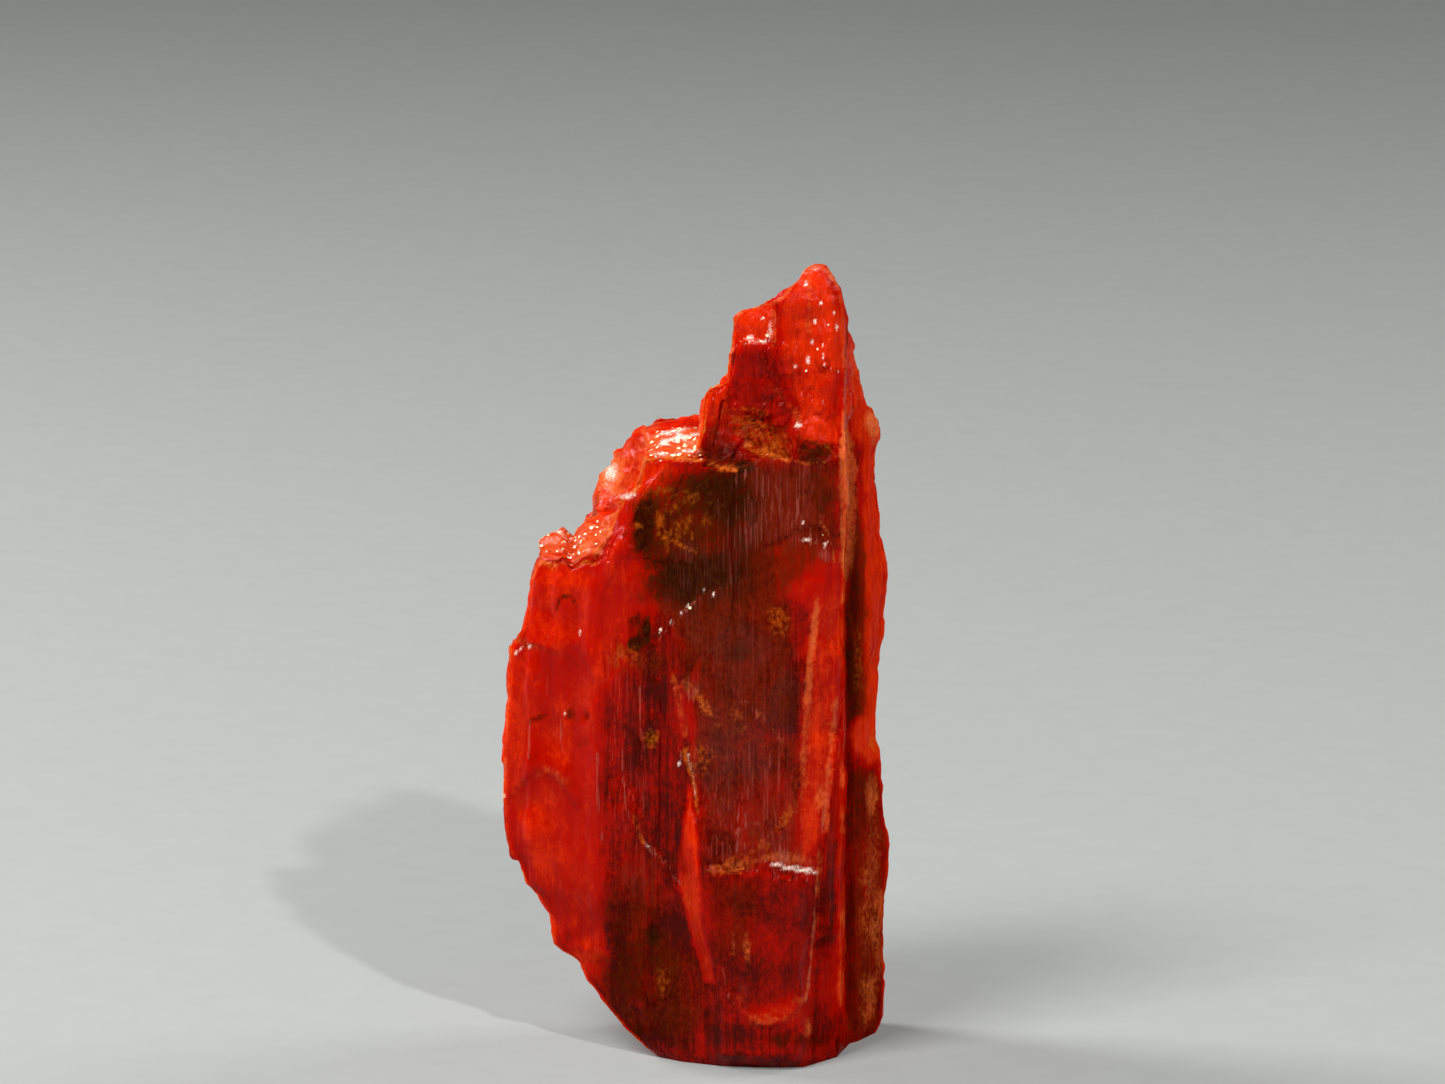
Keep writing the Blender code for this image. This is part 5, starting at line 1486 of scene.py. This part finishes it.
# The camera's sensor in millimetres, and the nearest and furthest that it shows in metres
SENSOR_WIDTH = 36.0
CLIP_START = 0.01
CLIP_END = 5.0


def area_light(scene, name, place, size, power):
    """A square soft light at a place in millimetres, turned to the lights' aim."""
    lamp = bpy.data.lights.new(name, "AREA")
    lamp.size = size * MM
    lamp.energy = power
    light = bpy.data.objects.new(name, lamp)
    light.location = Vector(place) * MM
    light.rotation_mode = "QUATERNION"
    light.rotation_quaternion = (Vector(LIGHT_AIM) - Vector(place)).to_track_quat("-Z", "Y")
    scene.collection.objects.link(light)


def bowl_mesh(name):
    """Studio paper: a round flat floor that turns up in a quarter circle into a round wall. A profile
    of floor, curve and wall is turned round the vertical axis."""
    turn = np.linspace(0.0, np.pi / 2.0, BOWL_CURVE)
    reach = np.concatenate([BOWL_FLOOR * np.linspace(BOWL_FIRST, 1.0, BOWL_CURVE)[:-1],
                            BOWL_FLOOR + BOWL_BEND * np.sin(turn), [BOWL_FLOOR + BOWL_BEND]])
    height = np.concatenate([np.zeros(BOWL_CURVE - 1), BOWL_BEND * (1.0 - np.cos(turn)), [BOWL_WALL]])
    angle = np.linspace(0.0, 2.0 * np.pi, BOWL_SIDES, endpoint=False)
    points = np.stack([np.outer(reach, np.cos(angle)), np.outer(reach, np.sin(angle)),
                       np.outer(height, np.ones(BOWL_SIDES))], axis=-1).reshape(-1, 3)
    here = np.arange(len(points)).reshape(len(reach), BOWL_SIDES)
    after = np.roll(here, -1, axis=1)
    quads = np.stack([here[:-1], here[1:], after[1:], after[:-1]], axis=-1).reshape(-1, 4)
    mesh = bpy.data.meshes.new(name)
    mesh.from_pydata((points * MM).tolist(), [], quads.tolist() + [here[0].tolist()])
    mesh.polygons.foreach_set("use_smooth", np.ones(len(mesh.polygons), dtype=bool))
    mesh.update()
    return mesh


class CROCOITE_OT_stage(bpy.types.Operator):
    """Add the floor, the lights and the camera"""

    bl_idname = "crocoite.stage"
    bl_label = "Stage"

    def execute(self, context):
        scene = context.scene
        settings = scene.crocoite_stage
        floor = bpy.data.objects.new("floor", bowl_mesh("floor"))
        floor.data.materials.append(paper("studio_paper", settings.floor))
        scene.collection.objects.link(floor)

        world = bpy.data.worlds.new("studio")
        world.use_nodes = True
        sky = world.node_tree.nodes["Background"]
        sky.inputs["Color"].default_value = linear(SKY_COLOUR)
        sky.inputs["Strength"].default_value = settings.sky
        scene.world = world
        for name, setting, place, size in LIGHTS:
            area_light(scene, name, place, size, getattr(settings, setting))

        lens = bpy.data.cameras.new("camera")
        lens.sensor_width = SENSOR_WIDTH
        lens.lens = SENSOR_WIDTH * SIGHT_DISTANCE / SIGHT_WIDTH
        lens.clip_start = CLIP_START
        lens.clip_end = CLIP_END
        camera = bpy.data.objects.new("camera", lens)
        back = Vector((0.0, -math.cos(SIGHT_ELEVATION), math.sin(SIGHT_ELEVATION)))
        aim = Vector(SIGHT_AIM) - Vector((*BOX_MIDDLE, 0.0))
        camera.location = (aim + back * SIGHT_DISTANCE) * MM
        camera.rotation_mode = "QUATERNION"
        camera.rotation_quaternion = (-back).to_track_quat("-Z", "Y")
        scene.collection.objects.link(camera)
        scene.camera = camera
        scene.view_settings.view_transform = "Standard"
        return {"FINISHED"}


class CROCOITE_PT_panel(bpy.types.Panel):
    """Lists the crystal's pieces and their settings"""

    bl_idname = "CROCOITE_PT_panel"
    bl_label = "Crocoite crystal"
    bl_space_type = "VIEW_3D"
    bl_region_type = "UI"
    bl_category = "Crocoite"

    def draw(self, context):
        for group, operator in (
                ("crocoite_crystal", CROCOITE_OT_crystal), ("crocoite_stage", CROCOITE_OT_stage)):
            box = self.layout.box()
            settings = getattr(context.scene, group)
            for name in settings.__annotations__:
                box.prop(settings, name)
            box.operator(operator.bl_idname)


CLASSES = (CrystalSettings, StageSettings, CROCOITE_OT_crystal, CROCOITE_OT_stage, CROCOITE_PT_panel)


def register():
    for item in CLASSES:
        bpy.utils.register_class(item)
    bpy.types.Scene.crocoite_crystal = bpy.props.PointerProperty(type=CrystalSettings)
    bpy.types.Scene.crocoite_stage = bpy.props.PointerProperty(type=StageSettings)


def unregister():
    del bpy.types.Scene.crocoite_crystal
    del bpy.types.Scene.crocoite_stage
    for item in reversed(CLASSES):
        bpy.utils.unregister_class(item)


def main():
    """Adds the crystal and the stage."""
    register()
    bpy.ops.crocoite.crystal()
    bpy.ops.crocoite.stage()


if __name__ == "__main__":
    main()
